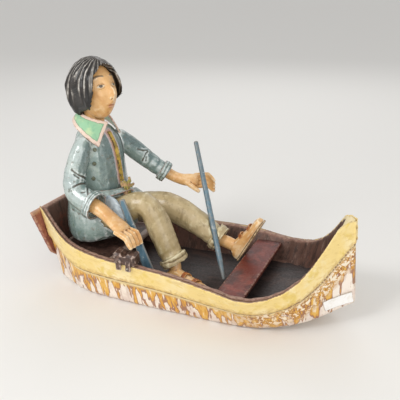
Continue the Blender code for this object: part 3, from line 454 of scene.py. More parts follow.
def grooveLine(way, width, depth, parts=24):
    # One cut line through some points
    way = [Vector(p) for p in way]
    steps = [a.lerp(b, i / parts) for a, b in zip(way, way[1:]) for i in range(parts + 1)]

    def heights(points):
        near = distanceTo(points, steps)
        return -depth * np.exp(-(near / width) ** 2)
    return heights


# Boat: hull, rails, floor, thwart, stern board

hullLook = {
    "base": "f4e8da",
    "layers": [
        ("mottle", "dfcbbe", 0.8, 34.0, 0.45, 0.62),
        ("strokes", "cbb5a8", 0.5, (1.0, 0.6, 0.18), 120.0, 0.5, 0.66),
        ("underRail", "ecd594", 0.85, 0.42, 0.18, 0.14),
        ("drips", "8f4f18", 0.85, 120.0, 0.345),
        ("drips", "d89c34", 0.95, 120.0, 0.405),
        ("drips", "e8ba5a", 0.8, 120.0, 0.455),
        ("drips", "f4e6cc", 0.75, 120.0, 0.54),
        ("spots", "8a4d18", 0.8, "bow", 140.0, 0.43, 0.45),
        ("spots", "d8a044", 0.9, "bow", 140.0, 0.475, 0.49),
        ("spots", "f4e8d2", 0.95, "bow", 140.0, 0.52, 0.54),
        ("spots", "7a1f12", 0.7, "low", 190.0, 0.60, 0.66),
        ("strokes", "9a5a24", 0.6, (1.0, 0.6, 0.12), 260.0, 0.62, 0.68),
        # Painted shadow: a thin dark line on the hull along the rail's lower edge
        ("railShadowLine", "6f4019", 0.9, 0.2, 0.8, 0.2),
        ("behindRail", "6b4738", 0.95, 0.2, 0.8, 0.1),
        ("keelEdge", "a8623c", 0.5, 0.14, 0.07, 0.30),
        ("rim", "9a7a58", 0.4, 0.26, 0.06, 0.5)],
    "rough": (0.36, 0.56), "grain": ((1.0, 0.5, 0.15), 150.0, 0.6), "bump": 0.35, "varnish": 0.2}
innerLook = {
    "base": "66473a",
    "layers": [
        ("strokes", "3f2c24", 0.85, (1.0, 0.8, 0.12), 130.0, 0.46, 0.6),
        ("strokes", "94796a", 0.65, (1.0, 0.8, 0.10), 170.0, 0.55, 0.68),
        ("mottle", "8a7c74", 0.35, 26.0, 0.6, 0.74),
        ("mottle", "86442f", 0.5, 40.0, 0.56, 0.7),
        ("crest", "8a6555", 0.9, 0.3, 0.7, 0.3),
        ("crest", "b0907c", 0.6, 0.75, 1.1, 0.7)],
    "rough": (0.5, 0.72), "grain": ((1.0, 0.8, 0.12), 140.0, 0.7), "bump": 0.5, "varnish": 0.05}
railLook = {
    "base": "f0d489",
    "layers": [
        ("mottle", "f6e4b4", 0.8, 22.0, 0.45, 0.65),
        ("mottle", "e4c55c", 0.75, 46.0, 0.52, 0.66),
        ("strokes", "d8b468", 0.5, (0.2, 0.5, 1.0), 150.0, 0.52, 0.66),
        ("mottle", "bb9350", 0.4, 170.0, 0.62, 0.72),
        # Painted shade: the rail darkens towards its lower edge, with a thin dark line right at it
        ("railLowEdgeShade", "c39a50", 0.6, 0.45, 0.15, 0.35),
        ("railLowEdgeShade", "6a3f1a", 0.9, 0.15, 0.05, 0.08),
        ("crest", "8a6754", 0.9, 0.35, 0.75, 0.35),
        ("crest", "b0937d", 0.6, 0.8, 1.1, 0.7)],
    "rough": (0.36, 0.56), "grain": ((0.2, 0.5, 1.0), 140.0, 0.5), "varnish": 0.2}


edgeFacts = {"inset": 0.001, "stations": 200, "window": 0.0018}
hullFacts = {
    "carving": {"voxel": 0.0029, "soften": 1, "wobble": 0.00015, "wobbleSize": 0.012, "rim": 0.006},
    "stainDepth": 0.03, "dripDepth": 0.06, "lineDepth": 0.003, "keelLevel": 0.003,
    "keelDepth": 0.03, "behindRail": (0.0025, 0.0045), "behindEnd": (0.185, 0.2),
    "bowSpots": (0.06, 0.15), "spotTop": (0.001, 0.004), "spotEnd": (0.018, 0.040),
    "lowSpots": (0.004, 0.016)}
railFacts = {
    "carving": {"voxel": 0.0013, "wobble": 0.00016, "wobbleSize": 0.009, "reach": 7},
    "edgeDepth": 0.02, "paleBow": (0.175, 0.205)}
facingUp = (0.3, 0.8)


def lowEdgeOf(node):
    # Height of a rail's lower edge, by place along the boat
    solid = mergedCopy("edgeFinder", node)
    ends = solid.data.vertices
    edges = [[ends[i].co for i in edge.vertices] for edge in solid.data.edges]
    points = np.array([p for edge in edges for p in spread(edge)])
    bpy.data.objects.remove(solid)
    along = points[:, 0]
    inset, window = edgeFacts["inset"], edgeFacts["window"]
    xs = np.linspace(along.min() + inset, along.max() - inset, edgeFacts["stations"])
    lows = [points[np.abs(along - x) < window][:, 2].min() for x in xs]
    return lambda values: np.interp(values, xs, lows)


def insideHull(centre, normal):
    # Faces that look towards the boat's middle line, but not the head of the stem
    middle = Vector((min(max(centre.x, -0.15), 0.15) - centre.x, -centre.y, 0)).normalized()
    stemHead = centre.x > 0.205 and normal.z > 0.1 and centre.z > 0.1
    return (normal.dot(middle) > 0.08 or normal.z > 0.5) and not stemHead


def buildHull():
    hull = carve(mergedCopy("hullShell", "hull"), hullFacts["carving"])
    points, normals = pointsOf(hull.data), normalsOf(hull.data)
    near, far = lowEdgeOf("rail_starboard"), lowEdgeOf("rail_port")
    low = np.where(points[:, 1] > 0, far(points[:, 0]), near(points[:, 0]))
    below = low - points[:, 2]
    behind = ramp(-below, *hullFacts["behindRail"])
    behind = behind * (1 - ramp(points[:, 0], *hullFacts["behindEnd"]))
    spotted = ramp(below, *hullFacts["spotTop"]) * (1 - ramp(below, *hullFacts["spotEnd"]))
    keelEdge = (points[:, 2] + hullFacts["keelLevel"]) / hullFacts["keelDepth"]
    for name, values in (
            ("underRail", below / hullFacts["stainDepth"]),
            ("drop", below / hullFacts["dripDepth"]),
            # Also the painted shadow line along the rail's lower edge
            ("behindRail", behind), ("railShadowLine", 1 - np.abs(below) / hullFacts["lineDepth"]),
            ("keelEdge", keelEdge), ("bow", ramp(points[:, 0], *hullFacts["bowSpots"]) * spotted),
            ("low", 1 - ramp(points[:, 2], *hullFacts["lowSpots"])),
            ("crest", ramp(normals[:, 2], *facingUp))):
        setAttribute(hull.data, name, values)
    dress(hull, paintFinish("hullPaint", hullLook), "hull", "hull")
    hull.data.materials.append(paintFinish("hullInside", innerLook))
    for face in hull.data.polygons:
        face.material_index = int(insideHull(face.center, face.normal))
    return hull


def buildRails():
    material = paintFinish("railPaint", railLook)
    for name, node in (("railNear", "rail_starboard"), ("railFar", "rail_port")):
        rail = carvedNode(name, node, "rail", material, railFacts["carving"])
        points, normals = pointsOf(rail.data), normalsOf(rail.data)
        # Height above the lower edge, for the painted shade along it
        above = points[:, 2] - lowEdgeOf(node)(points[:, 0])
        setAttribute(rail.data, "railLowEdgeShade", above / railFacts["edgeDepth"])
        bowShare = ramp(points[:, 0], *railFacts["paleBow"])
        setAttribute(rail.data, "crest", ramp(normals[:, 2], *facingUp) * (1 - 0.9 * bowShare))


floorLook = {
    "base": "372b28",
    "layers": [
        ("strokes", "1d1614", 0.85, (0.12, 1.0, 1.0), 90.0, 0.45, 0.62),
        ("strokes", "5f504a", 0.5, (0.10, 1.0, 1.0), 120.0, 0.56, 0.7),
        ("mottle", "543d34", 0.6, 30.0, 0.5, 0.66),
        # Painted highlight: a light line along the board's edges
        ("rim", "a3978c", 0.8, 0.26, 0.05, 0.6)],
    "rough": (0.45, 0.7), "grain": ((0.1, 1.0, 1.0), 130.0, 0.7), "bump": 0.4, "varnish": 0.1}
thwartLook = {
    "base": "6a2415",
    "layers": [
        ("mottle", "3c1710", 0.85, 24.0, 0.42, 0.6),
        ("mottle", "8c4030", 0.7, 38.0, 0.5, 0.66),
        ("strokes", "7d5a4e", 0.45, (0.9, 0.14, 1.0), 120.0, 0.58, 0.7),
        ("strokes", "b89a8a", 0.6, (1.0, 0.25, 1.0), 210.0, 0.65, 0.70),
        ("mottle", "8a7068", 0.5, 18.0, 0.62, 0.72),
        ("rim", "a57f6c", 0.7, 0.34, 0.05, 0.6)],
    "rough": (0.42, 0.62), "grain": ((1.0, 0.12, 1.0), 130.0, 0.5), "varnish": 0.05}
boardLook = {
    "base": "935a4e",
    "layers": [
        ("mottle", "733c33", 0.7, 60.0, 0.45, 0.62),
        ("mottle", "ad7767", 0.6, 95.0, 0.52, 0.66),
        ("mottle", "5c2c25", 0.5, 240.0, 0.58, 0.7),
        ("topBand", "b98d70", 0.9, 0.5, 0.75, 0.25),
        ("rim", "b98d72", 0.8, 0.36, 0.05, 0.5)],
    "rough": (0.45, 0.65), "bump": 0.35, "varnish": 0.08}
darkWoodLook = {
    "base": "5b4239",
    "layers": [
        ("strokes", "32221c", 0.8, (1.0, 0.4, 0.3), 120.0, 0.45, 0.6),
        ("mottle", "7a5f53", 0.7, 90.0, 0.5, 0.66),
        ("rub", "b39c8e", 0.85, 0.62, 0.35),
        ("glaze", "1c120e", 0.8, 0.40, 0.3)],
    "rough": (0.4, 0.62), "bump": 0.5, "varnish": 0.12}


def buildPlanks():
    carvedNode("floorPlank", "floor_board", "floor", paintFinish("floorStain", floorLook),
               {"voxel": 0.0028, "soften": 1, "rim": 0.006})
    carvedNode("thwartPlank", "thwart", "thwart", paintFinish("thwartStain", thwartLook),
               {"voxel": 0.0018, "soften": 1, "wobble": 0.0002, "wobbleSize": 0.01, "rim": 0.006})
    carvedNode("sternSeat", "stern_seat", "dark_wood", paintFinish("seatStain", darkWoodLook),
               {"voxel": 0.0030, "soften": 1})
    stain = paintFinish("boardStain", boardLook)
    board = carvedNode("sternPanel", "stern_board", "stern_board", stain,
                       {"voxel": 0.0016, "soften": 1, "wobble": 0.0002, "rim": 0.006})
    heights, band = pointsOf(board.data)[:, 2], 0.012
    setAttribute(board.data, "topBand", (heights - heights.max() + band) / band)


rowlockLook = dict(darkWoodLook, base="4c372f")
oarLook = {
    "base": "5a7b8c",
    "layers": [
        ("mottle", "456473", 0.7, 50.0, 0.45, 0.62),
        # Painted highlight: light blue streaks
        ("strokes", "86a3b0", 0.6, (1.0, 1.0, 0.12), 150.0, 0.54, 0.68),
        ("mottle", "b9c4c6", 0.75, 70.0, 0.62, 0.68),
        ("rub", "8f8a80", 0.7, 0.70, 0.4),
        ("glaze", "24333b", 0.7, 0.36, 0.3)],
    "grain": ((1.0, 1.0, 0.1), 160.0, 0.5), "varnish": 0.2}
nailLook = {
    "base": "c9c6bf", "layers": [("mottle", "6d6154", 0.7, 400.0, 0.52, 0.66)],
    "rough": (0.25, 0.45), "bump": 0.2, "metal": 0.9}


rowlockFacts = {"voxel": 0.0008, "wobble": 0.0007, "wobbleSize": 0.005, "reliefDepth": 0.0005}
oarFacts = {"voxel": 0.0009, "soften": 1, "wobble": 0.00015, "reliefDepth": 0.0003}


def buildFittings():
    material = paintFinish("rowlockStain", rowlockLook)
    for name, node in (("rowlockNear", "rowlock_starboard"), ("rowlockFar", "rowlock_port")):
        carvedNode(name, node, "dark_wood", material, rowlockFacts)
    paint = paintFinish("oarPaint", oarLook)
    for name, node in (("oarBlade", "oar_starboard"), ("oarPole", "oar_port")):
        carvedNode(name, node, "oar", paint, oarFacts)
    steel = paintFinish("nailSteel", nailLook)
    for node in ("rowlock_nail_starboard", "rowlock_nail_port"):
        nodes[node].data.materials.clear()
        nodes[node].data.materials.append(steel)


# Coat, sleeves, cuffs and hem

coatLook = {
    "base": "84968f",
    "layers": [
        ("mottle", "5f7a7b", 0.75, 22.0, 0.46, 0.66),
        # Painted highlight: broad light grey patches, laid at random
        ("mottle", "a9b5ab", 0.75, 34.0, 0.5, 0.66),
        ("mottle", "74806a", 0.6, 70.0, 0.56, 0.68),
        # Painted highlight: whitish paint on the faces turned outward and up
        ("paintedHighlight", "ccd5d2", 0.6, 0.25, 1.1, 0.25),
        # Painted highlight: long whitish upright streaks
        ("strokes", "c2cdcb", 0.5, (1.0, 1.0, 0.18), 90.0, 0.54, 0.68),
        # Painted shade on the chest, the faces turned forward
        ("front", "465a5c", 0.6, 0.3, 1.1, 0.4),
        ("strokes", "4a4c3a", 0.75, (0.7, 0.7, 1.0), 105.0, 0.595, 0.66),
        ("mottle", "7d6a58", 0.5, 120.0, 0.60, 0.68),
        # Painted shade on the faces turned down
        ("under", "2f3b37", 0.75, 0.3, 0.9, 0.5),
        ("glaze", "38342b", 0.9, 0.40, 0.25),
        ("glaze", "6b5a4c", 0.55, 0.47, 0.5),
        # Whitish on the raised places: rubbed paint, and partly a painted highlight
        ("rub", "dde4e1", 0.85, 0.60, 0.35)],
    "rough": (0.22, 0.42), "grain": ((1.0, 1.0, 0.3), 110.0, 0.4), "bump": 0.25, "varnish": 0.7,
    "polish": 0.12}
cuffLook = withLayers(coatLook, ("rim", "8a6a5c", 0.85, 0.5, 0.12, 0.4))
# Beside the shirt strip: a whitish band that is a painted highlight, and nearer the strip the
# coat's own pinkish edge
bodyLook = withLayers(coatLook, ("frontEdge", "d9c9cf", 0.7, 0.75, 0.5, 0.3),
                      ("frontEdge", "c79f8a", 0.9, 0.42, 0.25, 0.2))
hemLook = withLayers(coatLook, ("rim", "96705f", 0.95, 1.0, 0.4, 0.4))
flapFacts = {"along": (-0.122, -0.094), "across": (-0.010, 0.012), "forward": 0.008,
             "down": 0.0115, "drawnFrom": 0.010, "drawnShare": 0.5}


def laidDown(points):
    # The hem's far flap settles on the thigh and reaches a little further along it
    laid = points.copy()
    share = ramp(points[:, 0], *flapFacts["along"]) * ramp(points[:, 1], *flapFacts["across"])
    laid[:, 0] += flapFacts["forward"] * share
    past = np.maximum(points[:, 1] - flapFacts["drawnFrom"], 0.0)
    laid[:, 1] -= flapFacts["drawnShare"] * past
    laid[:, 2] -= flapFacts["down"] * share
    return laid


coatFacts = {
    "voxel": 0.0017, "wobble": 0.0006, "wobbleSize": 0.014, "reach": 12, "reliefDepth": 0.0008,
    "folds": (
        grooveLine([(-0.150, -0.062, 0.127), (-0.178, -0.055, 0.131), (-0.200, -0.036, 0.133),
                    (-0.209, 0.0, 0.134), (-0.200, 0.036, 0.133), (-0.178, 0.055, 0.131)],
                   width=0.0016, depth=0.0013),
        cutLines([[(-0.176, 0.1262), (-0.150, 0.1215), (-0.112, 0.1235)]],
                 y=-0.064, axis=(0.1, -1, 0.1), width=0.0030, depth=0.0013),
        fanFold((-0.112, -0.060, 0.092), axis=(0.1, -1, 0), toward=(-1, 0, 0.1), count=7,
                depth=0.0008, reach=0.030, sector=0.9, width=0.0010, seed=2.0),
        fanFold((-0.124, -0.040, 0.160), axis=(0.5, -0.86, 0), toward=(0, 0, 1), count=4,
                depth=0.0007, reach=0.022, sector=0.7, width=0.0012, seed=3.0))}
sleeveFacts = {"voxel": 0.0012, "reach": 13, "reliefDepth": 0.0007}
nearSleeveFacts = {
    **sleeveFacts, "wobble": 0.0005, "wobbleSize": 0.012,
    "folds": (
        cutLines([
            [(-0.1488, 0.2015), (-0.1389, 0.1962), (-0.1275, 0.1932), (-0.1190, 0.1878)],
            [(-0.1445, 0.1952), (-0.1365, 0.1912)],
            [(-0.1470, 0.1768), (-0.1394, 0.1812), (-0.1335, 0.1836), (-0.1255, 0.1846)],
            [(-0.1230, 0.1826), (-0.1242, 0.1738), (-0.1232, 0.1645)],
            [(-0.1345, 0.1704), (-0.1288, 0.1722)]],
            y=-0.086, axis=(0.53, -0.78, 0.32), width=0.0010, depth=0.0020),
        ringFold((-0.160, -0.050, 0.205), (-0.164, -0.060, 0.172), count=2.0, depth=0.0005,
                 seed=1.0, slant=0.3))}
farSleeveFacts = {
    **sleeveFacts, "wobble": 0.0004, "wobbleSize": 0.010,
    "folds": (
        cutLines([
            [(-0.1175, 0.1985), (-0.1090, 0.1975), (-0.1005, 0.1988)],
            [(-0.1000, 0.1975), (-0.1040, 0.1925), (-0.1060, 0.1870), (-0.1108, 0.1800)],
            [(-0.1030, 0.1880), (-0.1040, 0.1810)]],
            y=0.05, axis=(0.445, -0.85, 0.277), width=0.0010, depth=0.0014),
        ringFold((-0.112, 0.055, 0.186), (-0.084, 0.068, 0.162), count=3.0, depth=0.0006,
                 seed=3.0, slant=0.4))}
cuffFacts = {"voxel": 0.0007, "wobble": 0.0005, "wobbleSize": 0.007, "reliefDepth": 0.0004,
             "rim": 0.003}
cuffTurns = (
    ("cuffNear", "cuff_right", (-0.128, -0.0703, 0.1477), (-0.118, -0.0717, 0.1448)),
    ("cuffFar", "cuff_left", (-0.088, 0.0668, 0.1662), (-0.077, 0.0706, 0.1577)))
hemFacts = {"voxel": 0.0007, "wobble": 0.0004, "wobbleSize": 0.008, "reliefDepth": 0.0004,
            "rim": 0.003, "reshape": laidDown}
# Ramps for the painted shade below and on the chest, and for the band beside the shirt strip
washFacts = {"under": (0.35, 0.9), "front": (0.35, 0.9), "frontShadeFrom": (0.14, 0.16), "edge": 0.008}


def paintHighlightAndShade(piece, highlightFrom):
    # Painted highlight on the faces turned outward and up, painted shade on the faces turned down
    # and on the chest
    ahead, across, up = normalsOf(piece.data).T
    high = ramp(pointsOf(piece.data)[:, 2], *washFacts["frontShadeFrom"])
    setAttribute(piece.data, "paintedHighlight", ramp(-0.8 * across + 0.5 * up, highlightFrom, 1.0))
    setAttribute(piece.data, "under", ramp(-up + 0.3 * ahead, *washFacts["under"]))
    setAttribute(piece.data, "front", ramp(ahead, *washFacts["front"]) * high)


def buildCoat():
    coat = carvedNode("coatBody", "coat", "coat", paintFinish("coatPaint", bodyLook), coatFacts)
    paintHighlightAndShade(coat, 0.7)
    strip = spread([v.co for v in nodes["shirt_front"].data.vertices])
    away = distanceTo(pointsOf(coat.data), strip)
    setAttribute(coat.data, "frontEdge", away / washFacts["edge"])
    paint = paintFinish("sleevePaint", coatLook)
    for name, node, facts in (("sleeveNear", "sleeve_right", nearSleeveFacts),
                              ("sleeveFar", "sleeve_left", farSleeveFacts)):
        paintHighlightAndShade(carvedNode(name, node, "coat", paint, facts), 0.35)
    rolled = paintFinish("cuffPaint", cuffLook)
    for name, node, start, end in cuffTurns:
        turns = ringFold(start, end, count=3.0, depth=0.0006, seed=2.0)
        facts = dict(cuffFacts, folds=(turns,))
        paintHighlightAndShade(carvedNode(name, node, "coat", rolled, facts), 0.35)
    hem = carvedNode("coatHem", "coat_hem", "coat", paintFinish("hemPaint", hemLook), hemFacts)
    paintHighlightAndShade(hem, 0.45)


# Collar, shirt front, knot, buttons and shirt tail

collarLook = {
    "base": "97c69e",
    "layers": [
        ("mottle", "c6d9a6", 0.7, 46.0, 0.48, 0.62),
        ("mottle", "74ab8a", 0.6, 80.0, 0.52, 0.66),
        ("rim", "4f6b52", 0.8, 0.72, 0.56, 0.12),
        ("rim", "e6cdbb", 1.0, 0.60, 0.54, 0.10),
        ("mottle", "efe0d0", 0.3, 120.0, 0.6, 0.7),
        ("rim", "a0766a", 0.6, 0.16, 0.02, 0.3)],
    "varnish": 0.2}
yellowLook = {
    "base": "c4a238",
    "layers": [
        ("mottle", "8a7226", 0.8, 130.0, 0.46, 0.6),
        ("mottle", "e0c468", 0.6, 190.0, 0.54, 0.66),
        ("mottle", "4f4218", 0.7, 320.0, 0.58, 0.68),
        ("rim", "3c2c1a", 0.85, 0.34, 0.1, 0.7)],
    "rough": (0.4, 0.6), "bump": 0.5, "varnish": 0.1}
sashLook = {
    "base": "a8855a",
    "layers": [
        ("mottle", "8f8d3e", 0.9, 130.0, 0.45, 0.55),
        ("mottle", "c99e72", 0.7, 190.0, 0.5, 0.62),
        ("glaze", "43301c", 0.85, 0.42, 0.3),
        ("rub", "b78f9a", 0.8, 0.66, 0.3)],
    "rough": (0.45, 0.65), "bump": 0.4}
shirtLook = {
    "base": "b4c0c6",
    "layers": [
        ("mottle", "8d9ca4", 0.7, 60.0, 0.46, 0.62),
        ("mottle", "dfe6e8", 0.6, 90.0, 0.54, 0.66),
        ("glaze", "5a5a54", 0.7, 0.42, 0.3)],
    "rough": (0.35, 0.55), "varnish": 0.15}
buttonLook = {
    "base": "5a5e45",
    "layers": [
        ("mottle", "36382a", 0.8, 300.0, 0.45, 0.6),
        ("mottle", "8c8f6c", 0.7, 420.0, 0.54, 0.66)],
    "varnish": 0.2}


tailFacts = {"root": (-0.1065, -0.0120, 0.1600), "count": 9, "length": 0.021, "radius": 0.0011,
             "spread": 0.0085, "parts": 5, "sides": 7, "taper": 0.8, "bulge": 0.0045}
tailLooks = [dict(sashLook, base=code) for code in ("b3a441", "c49a66", "8d6577")]


def tailWay(i):
    # Points down one frayed end, which bulges forward and sways to its own side
    share = i / (tailFacts["count"] - 1) - 0.5
    sway = noise.noise(Vector((i * 1.7, 0.4, 0.0)))
    reach = tailFacts["length"] * (0.8 + 0.35 * sway)
    aside = Vector((0.0015 * sway, tailFacts["spread"] * share, 0.001 * sway))
    start = Vector(tailFacts["root"]) + aside
    way = []
    for t in (j / tailFacts["parts"] for j in range(tailFacts["parts"] + 1)):
        ahead = tailFacts["bulge"] * math.sin(1.9 * t) + 0.0008 * sway * math.sin(6 * t)
        way.append(start + Vector((ahead, (0.006 * share + 0.002 * sway) * t, -reach * t)))
    return way


def buildTails():
    # Frayed cloth ends that hang from the waist knot, thinner towards their tips
    last = tailFacts["parts"]
    for k, look in enumerate(tailLooks):
        shape = bmesh.new()
        for i in range(k, tailFacts["count"], len(tailLooks)):
            way = tailWay(i)
            rings = []
            for j, centre in enumerate(way):
                ahead = way[min(j + 1, last)] - way[max(j - 1, 0)]
                turn = ahead.to_track_quat('Z', 'Y').to_matrix().to_4x4()
                ring = bmesh.ops.create_circle(
                    shape, cap_ends=j in (0, last), segments=tailFacts["sides"],
                    radius=tailFacts["radius"] * (1.1 - tailFacts["taper"] * j / last),
                    matrix=Matrix.Translation(centre) @ turn)["verts"]
                edges = [e for v in ring for e in v.link_edges if e.other_vert(v) in ring]
                rings.append(list(dict.fromkeys(edges)))
            for near, far in zip(rings, rings[1:]):
                bmesh.ops.bridge_loops(shape, edges=near + far)
        bmesh.ops.recalc_face_normals(shape, faces=shape.faces)
        mesh = meshFrom(shape, "knotTails%d" % (k + 1))
        mesh.shade_smooth()
        setAttribute(mesh, "relief", 0.5 + 0.4 * cloud(pointsOf(mesh), 0.002, k))
        finish = paintFinish("tailPaint%d" % (k + 1), look)
        dress(addObject(mesh), finish, "sash")


def buildTrim():
    carvedNode("collarFold", "collar", "collar", paintFinish("collarPaint", collarLook),
               {"voxel": 0.0009, "soften": 1, "wobble": 0.0003, "wobbleSize": 0.009, "rim": 0.009})
    carvedNode("shirtStrip", "shirt_front", "placket", paintFinish("stripPaint", yellowLook),
               {"voxel": 0.0006, "soften": 1, "wobble": 0.0004, "wobbleSize": 0.0022, "rim": 0.003})
    carvedNode("waistKnot", "waist_knot", "sash", paintFinish("sashPaint", sashLook),
               {"voxel": 0.0006, "soften": 1, "wobble": 0.0008, "wobbleSize": 0.003,
                "reliefDepth": 0.0005})
    carvedNode("shirtTail", "shirt_tail", "shirt", paintFinish("shirtPaint", shirtLook),
               {"voxel": 0.0009, "wobble": 0.0006, "wobbleSize": 0.007})
    buildTails()
    paint = paintFinish("buttonPaint", buttonLook)
    for i in (1, 2, 3):
        carvedNode("button%d" % i, "button_%d" % i, "button", paint,
                   {"voxel": 0.0003, "wobble": 0.0001, "wobbleSize": 0.002})


# Trousers, feet and sandals

khakiLook = {
    "base": "bca880",
    "layers": [
        ("mottle", "9b8658", 0.8, 22.0, 0.44, 0.64),
        ("mottle", "cfbf96", 0.7, 32.0, 0.5, 0.68),
        ("strokes", "86714a", 0.6, (1.0, 1.0, 0.3), 90.0, 0.53, 0.66),
        ("glaze", "543f20", 0.9, 0.43, 0.3),
        ("rub", "e2d7b2", 0.8, 0.60, 0.35),
        ("mottle", "6f5a34", 0.4, 170.0, 0.62, 0.72)],
    "grain": ((1.0, 1.0, 0.35), 120.0, 0.4), "bump": 0.25, "varnish": 0.4}
skinLook = {
    "base": "e0b074",
    "layers": [
        ("mottle", "cf9556", 0.7, 44.0, 0.46, 0.64),
        ("mottle", "eecb9c", 0.7, 60.0, 0.5, 0.64),
        ("glaze", "8a5526", 0.8, 0.43, 0.25),
        ("rub", "f5dfb8", 0.8, 0.60, 0.3),
        ("mottle", "a86d3a", 0.4, 200.0, 0.6, 0.72)],
    "rough": (0.32, 0.5), "bump": 0.25, "varnish": 0.3}
soleLook = {
    "base": "cbb08a",
    "layers": [("mottle", "9a7b52", 0.8, 90.0, 0.46, 0.62), ("rim", "6d5136", 0.7, 0.4, 0.1, 0.5)],
    "rough": (0.45, 0.65)}
strapLook = {
    "base": "a65d2a",
    "layers": [
        ("mottle", "7b3d18", 0.8, 120.0, 0.45, 0.6),
        ("mottle", "c9823f", 0.7, 170.0, 0.52, 0.64),
        ("rub", "dba565", 0.7, 0.64, 0.3)],
    "rough": (0.35, 0.55), "varnish": 0.15}


trouserFacts = {
    "voxel": 0.0015, "soften": 3, "wobble": 0.0007, "wobbleSize": 0.016, "reach": 14,
    "reliefDepth": 0.0009,
    "folds": (
        fanFold((-0.062, -0.046, 0.118), axis=(0.3, -0.95, 0), toward=(0.3, 0, -1), count=5,
                depth=0.0007, reach=0.026, sector=0.8, width=0.0016, seed=4.0),
        ringFold((-0.040, -0.030, 0.100), (-0.024, -0.032, 0.066), count=2.0, depth=0.0005,
                 seed=6.0, slant=0.5),
        fanFold((-0.096, 0.000, 0.136), axis=(0, 0, 1), toward=(1, 0.2, 0), count=6,
                depth=0.0010, reach=0.034, sector=1.0, width=0.0015, seed=7.0),
        ringFold((-0.020, 0.035, 0.104), (0.020, 0.035, 0.080), count=2.0, depth=0.0006,
                 seed=9.0, slant=-0.5))}
turnUpFacts = {"voxel": 0.0008, "soften": 5, "wobble": 0.0012, "wobbleSize": 0.010,
               "reliefDepth": 0.0004}
turnUps = (
    ("turnUpNear", "trouser_cuff_right", (-0.025, -0.032, 0.072), (-0.018, -0.032, 0.055)),
    ("turnUpFar", "trouser_cuff_left", (0.014, 0.035, 0.085), (0.031, 0.035, 0.074)))
footFacts = {"voxel": 0.0010, "wobble": 0.0002, "reliefDepth": 0.0005}
soleFacts = {"voxel": 0.0008, "soften": 1, "wobble": 0.00015, "rim": 0.003}
strapFacts = {"voxel": 0.0005, "soften": 1, "wobble": 0.0001, "wobbleSize": 0.003,
              "reliefDepth": 0.0003}


def buildLegs():
    paint = paintFinish("khakiPaint", khakiLook)
    carvedNode("trouserCloth", "trousers", "trousers", paint, trouserFacts)
    for name, node, start, end in turnUps:
        layers = ringFold(start, end, count=2.6, depth=0.0009, seed=2.0, slant=0.2)
        carvedNode(name, node, "trousers", paint, dict(turnUpFacts, folds=(layers,)))
    skin = paintFinish("footPaint", skinLook)
    sole = paintFinish("solePaint", soleLook)
    strap = paintFinish("strapPaint", strapLook)
    for side, label in (("left", "Far"), ("right", "Near")):
        carvedNode("foot" + label, "foot_" + side, "skin", skin, footFacts)
        carvedNode("sole" + label, "sandal_sole_" + side, "sole", sole, soleFacts)
        for i in (1, 2):
            carvedNode("strap%s%d" % (label, i), "strap_%s_%d" % (side, i), "strap", strap,
                       strapFacts)


# Head, hair and hands

headFacts = {"centre": (-0.1575, 0.0, 0.2960), "turn": -17.0, "nod": -19.0,
             "height": 0.084, "width": 0.056, "faceStart": 0.004}
hairLook = {
    "base": "171310",
    "layers": [
        ("mottle", "2b221c", 0.7, 60.0, 0.46, 0.62),
        # Painted highlight along the ridges of the locks, and painted shade in their grooves
        ("strandLightAndShade", "7c766e", 0.8, 0.64, 0.88, 0.12),
        ("strandLightAndShade", "cfcac2", 0.85, 0.86, 0.98, 0.12),
        ("strandLightAndShade", "060505", 0.9, 0.42, 0.15, 0.1)],
    "rough": (0.34, 0.5), "bump": 0.2, "varnish": 0.25, "polish": 0.3}


def headPlacement():
    turn = Matrix.Rotation(math.radians(headFacts["turn"]), 4, 'Z')
    nod = Matrix.Rotation(math.radians(headFacts["nod"]), 4, 'Y')
    return Matrix.Translation(headFacts["centre"]) @ turn @ nod


def moved(points, matrix):
    matrix = np.array(matrix)
    return points @ matrix[:3, :3].T + matrix[:3, 3]


def inHead(points):
    return moved(points, headPlacement().inverted())


def faceShares(local):
    # Places on the face in shares of half the head's width and height
    return local[:, 1] / (headFacts["width"] / 2), local[:, 2] / (headFacts["height"] / 2)


def onFace(local):
    return local[:, 0] > headFacts["faceStart"]


def faceSpot(local, side, level, sideReach, levelReach):
    # Soft round spot on the face
    across, up = faceShares(local)
    a, b = (across - side) / sideReach, (up - level) / levelReach
    return np.exp(-(a * a + b * b)) * onFace(local)


def faceArc(local, side, level, halfLength, curve, thick):
    # Soft arc across the face, bowed by the curve
    across, up = faceShares(local)
    s = across - side
    bowed = level + curve * (1 - (s / halfLength) ** 2)
    b = (up - bowed) / thick
    return np.exp(-b * b) * ramp(halfLength - np.abs(s), 0.0, 0.12) * onFace(local)


calmFacts = {
    "eyes": (-0.42, 0.42), "wings": (-0.13, 0.13),
    # Height, level, half length, curve and thickness of each arc
    "eyeArcs": (
        (-0.0009, 0.015, 0.23, 0.075, 0.020), (-0.0007, -0.025, 0.21, -0.045, 0.018),
        (-0.0004, 0.10, 0.24, 0.06, 0.018), (0.0006, 0.28, 0.28, 0.06, 0.040)),
    "browPaint": (0.29, 0.30, 0.06, 0.045), "lipPaint": (-0.675, 0.25, 0.0, 0.085),
    "mouthArcs": ((-0.0012, -0.675, 0.27, 0.012, 0.018), (-0.0006, -0.82, 0.18, 0.02, 0.03)),
    # Height, share of the wing's side, level and two reaches of each spot
    "noseSpots": ((0.0010, 1.0, -0.42, 0.06, 0.05), (-0.0010, 0.6, -0.475, 0.035, 0.025))}


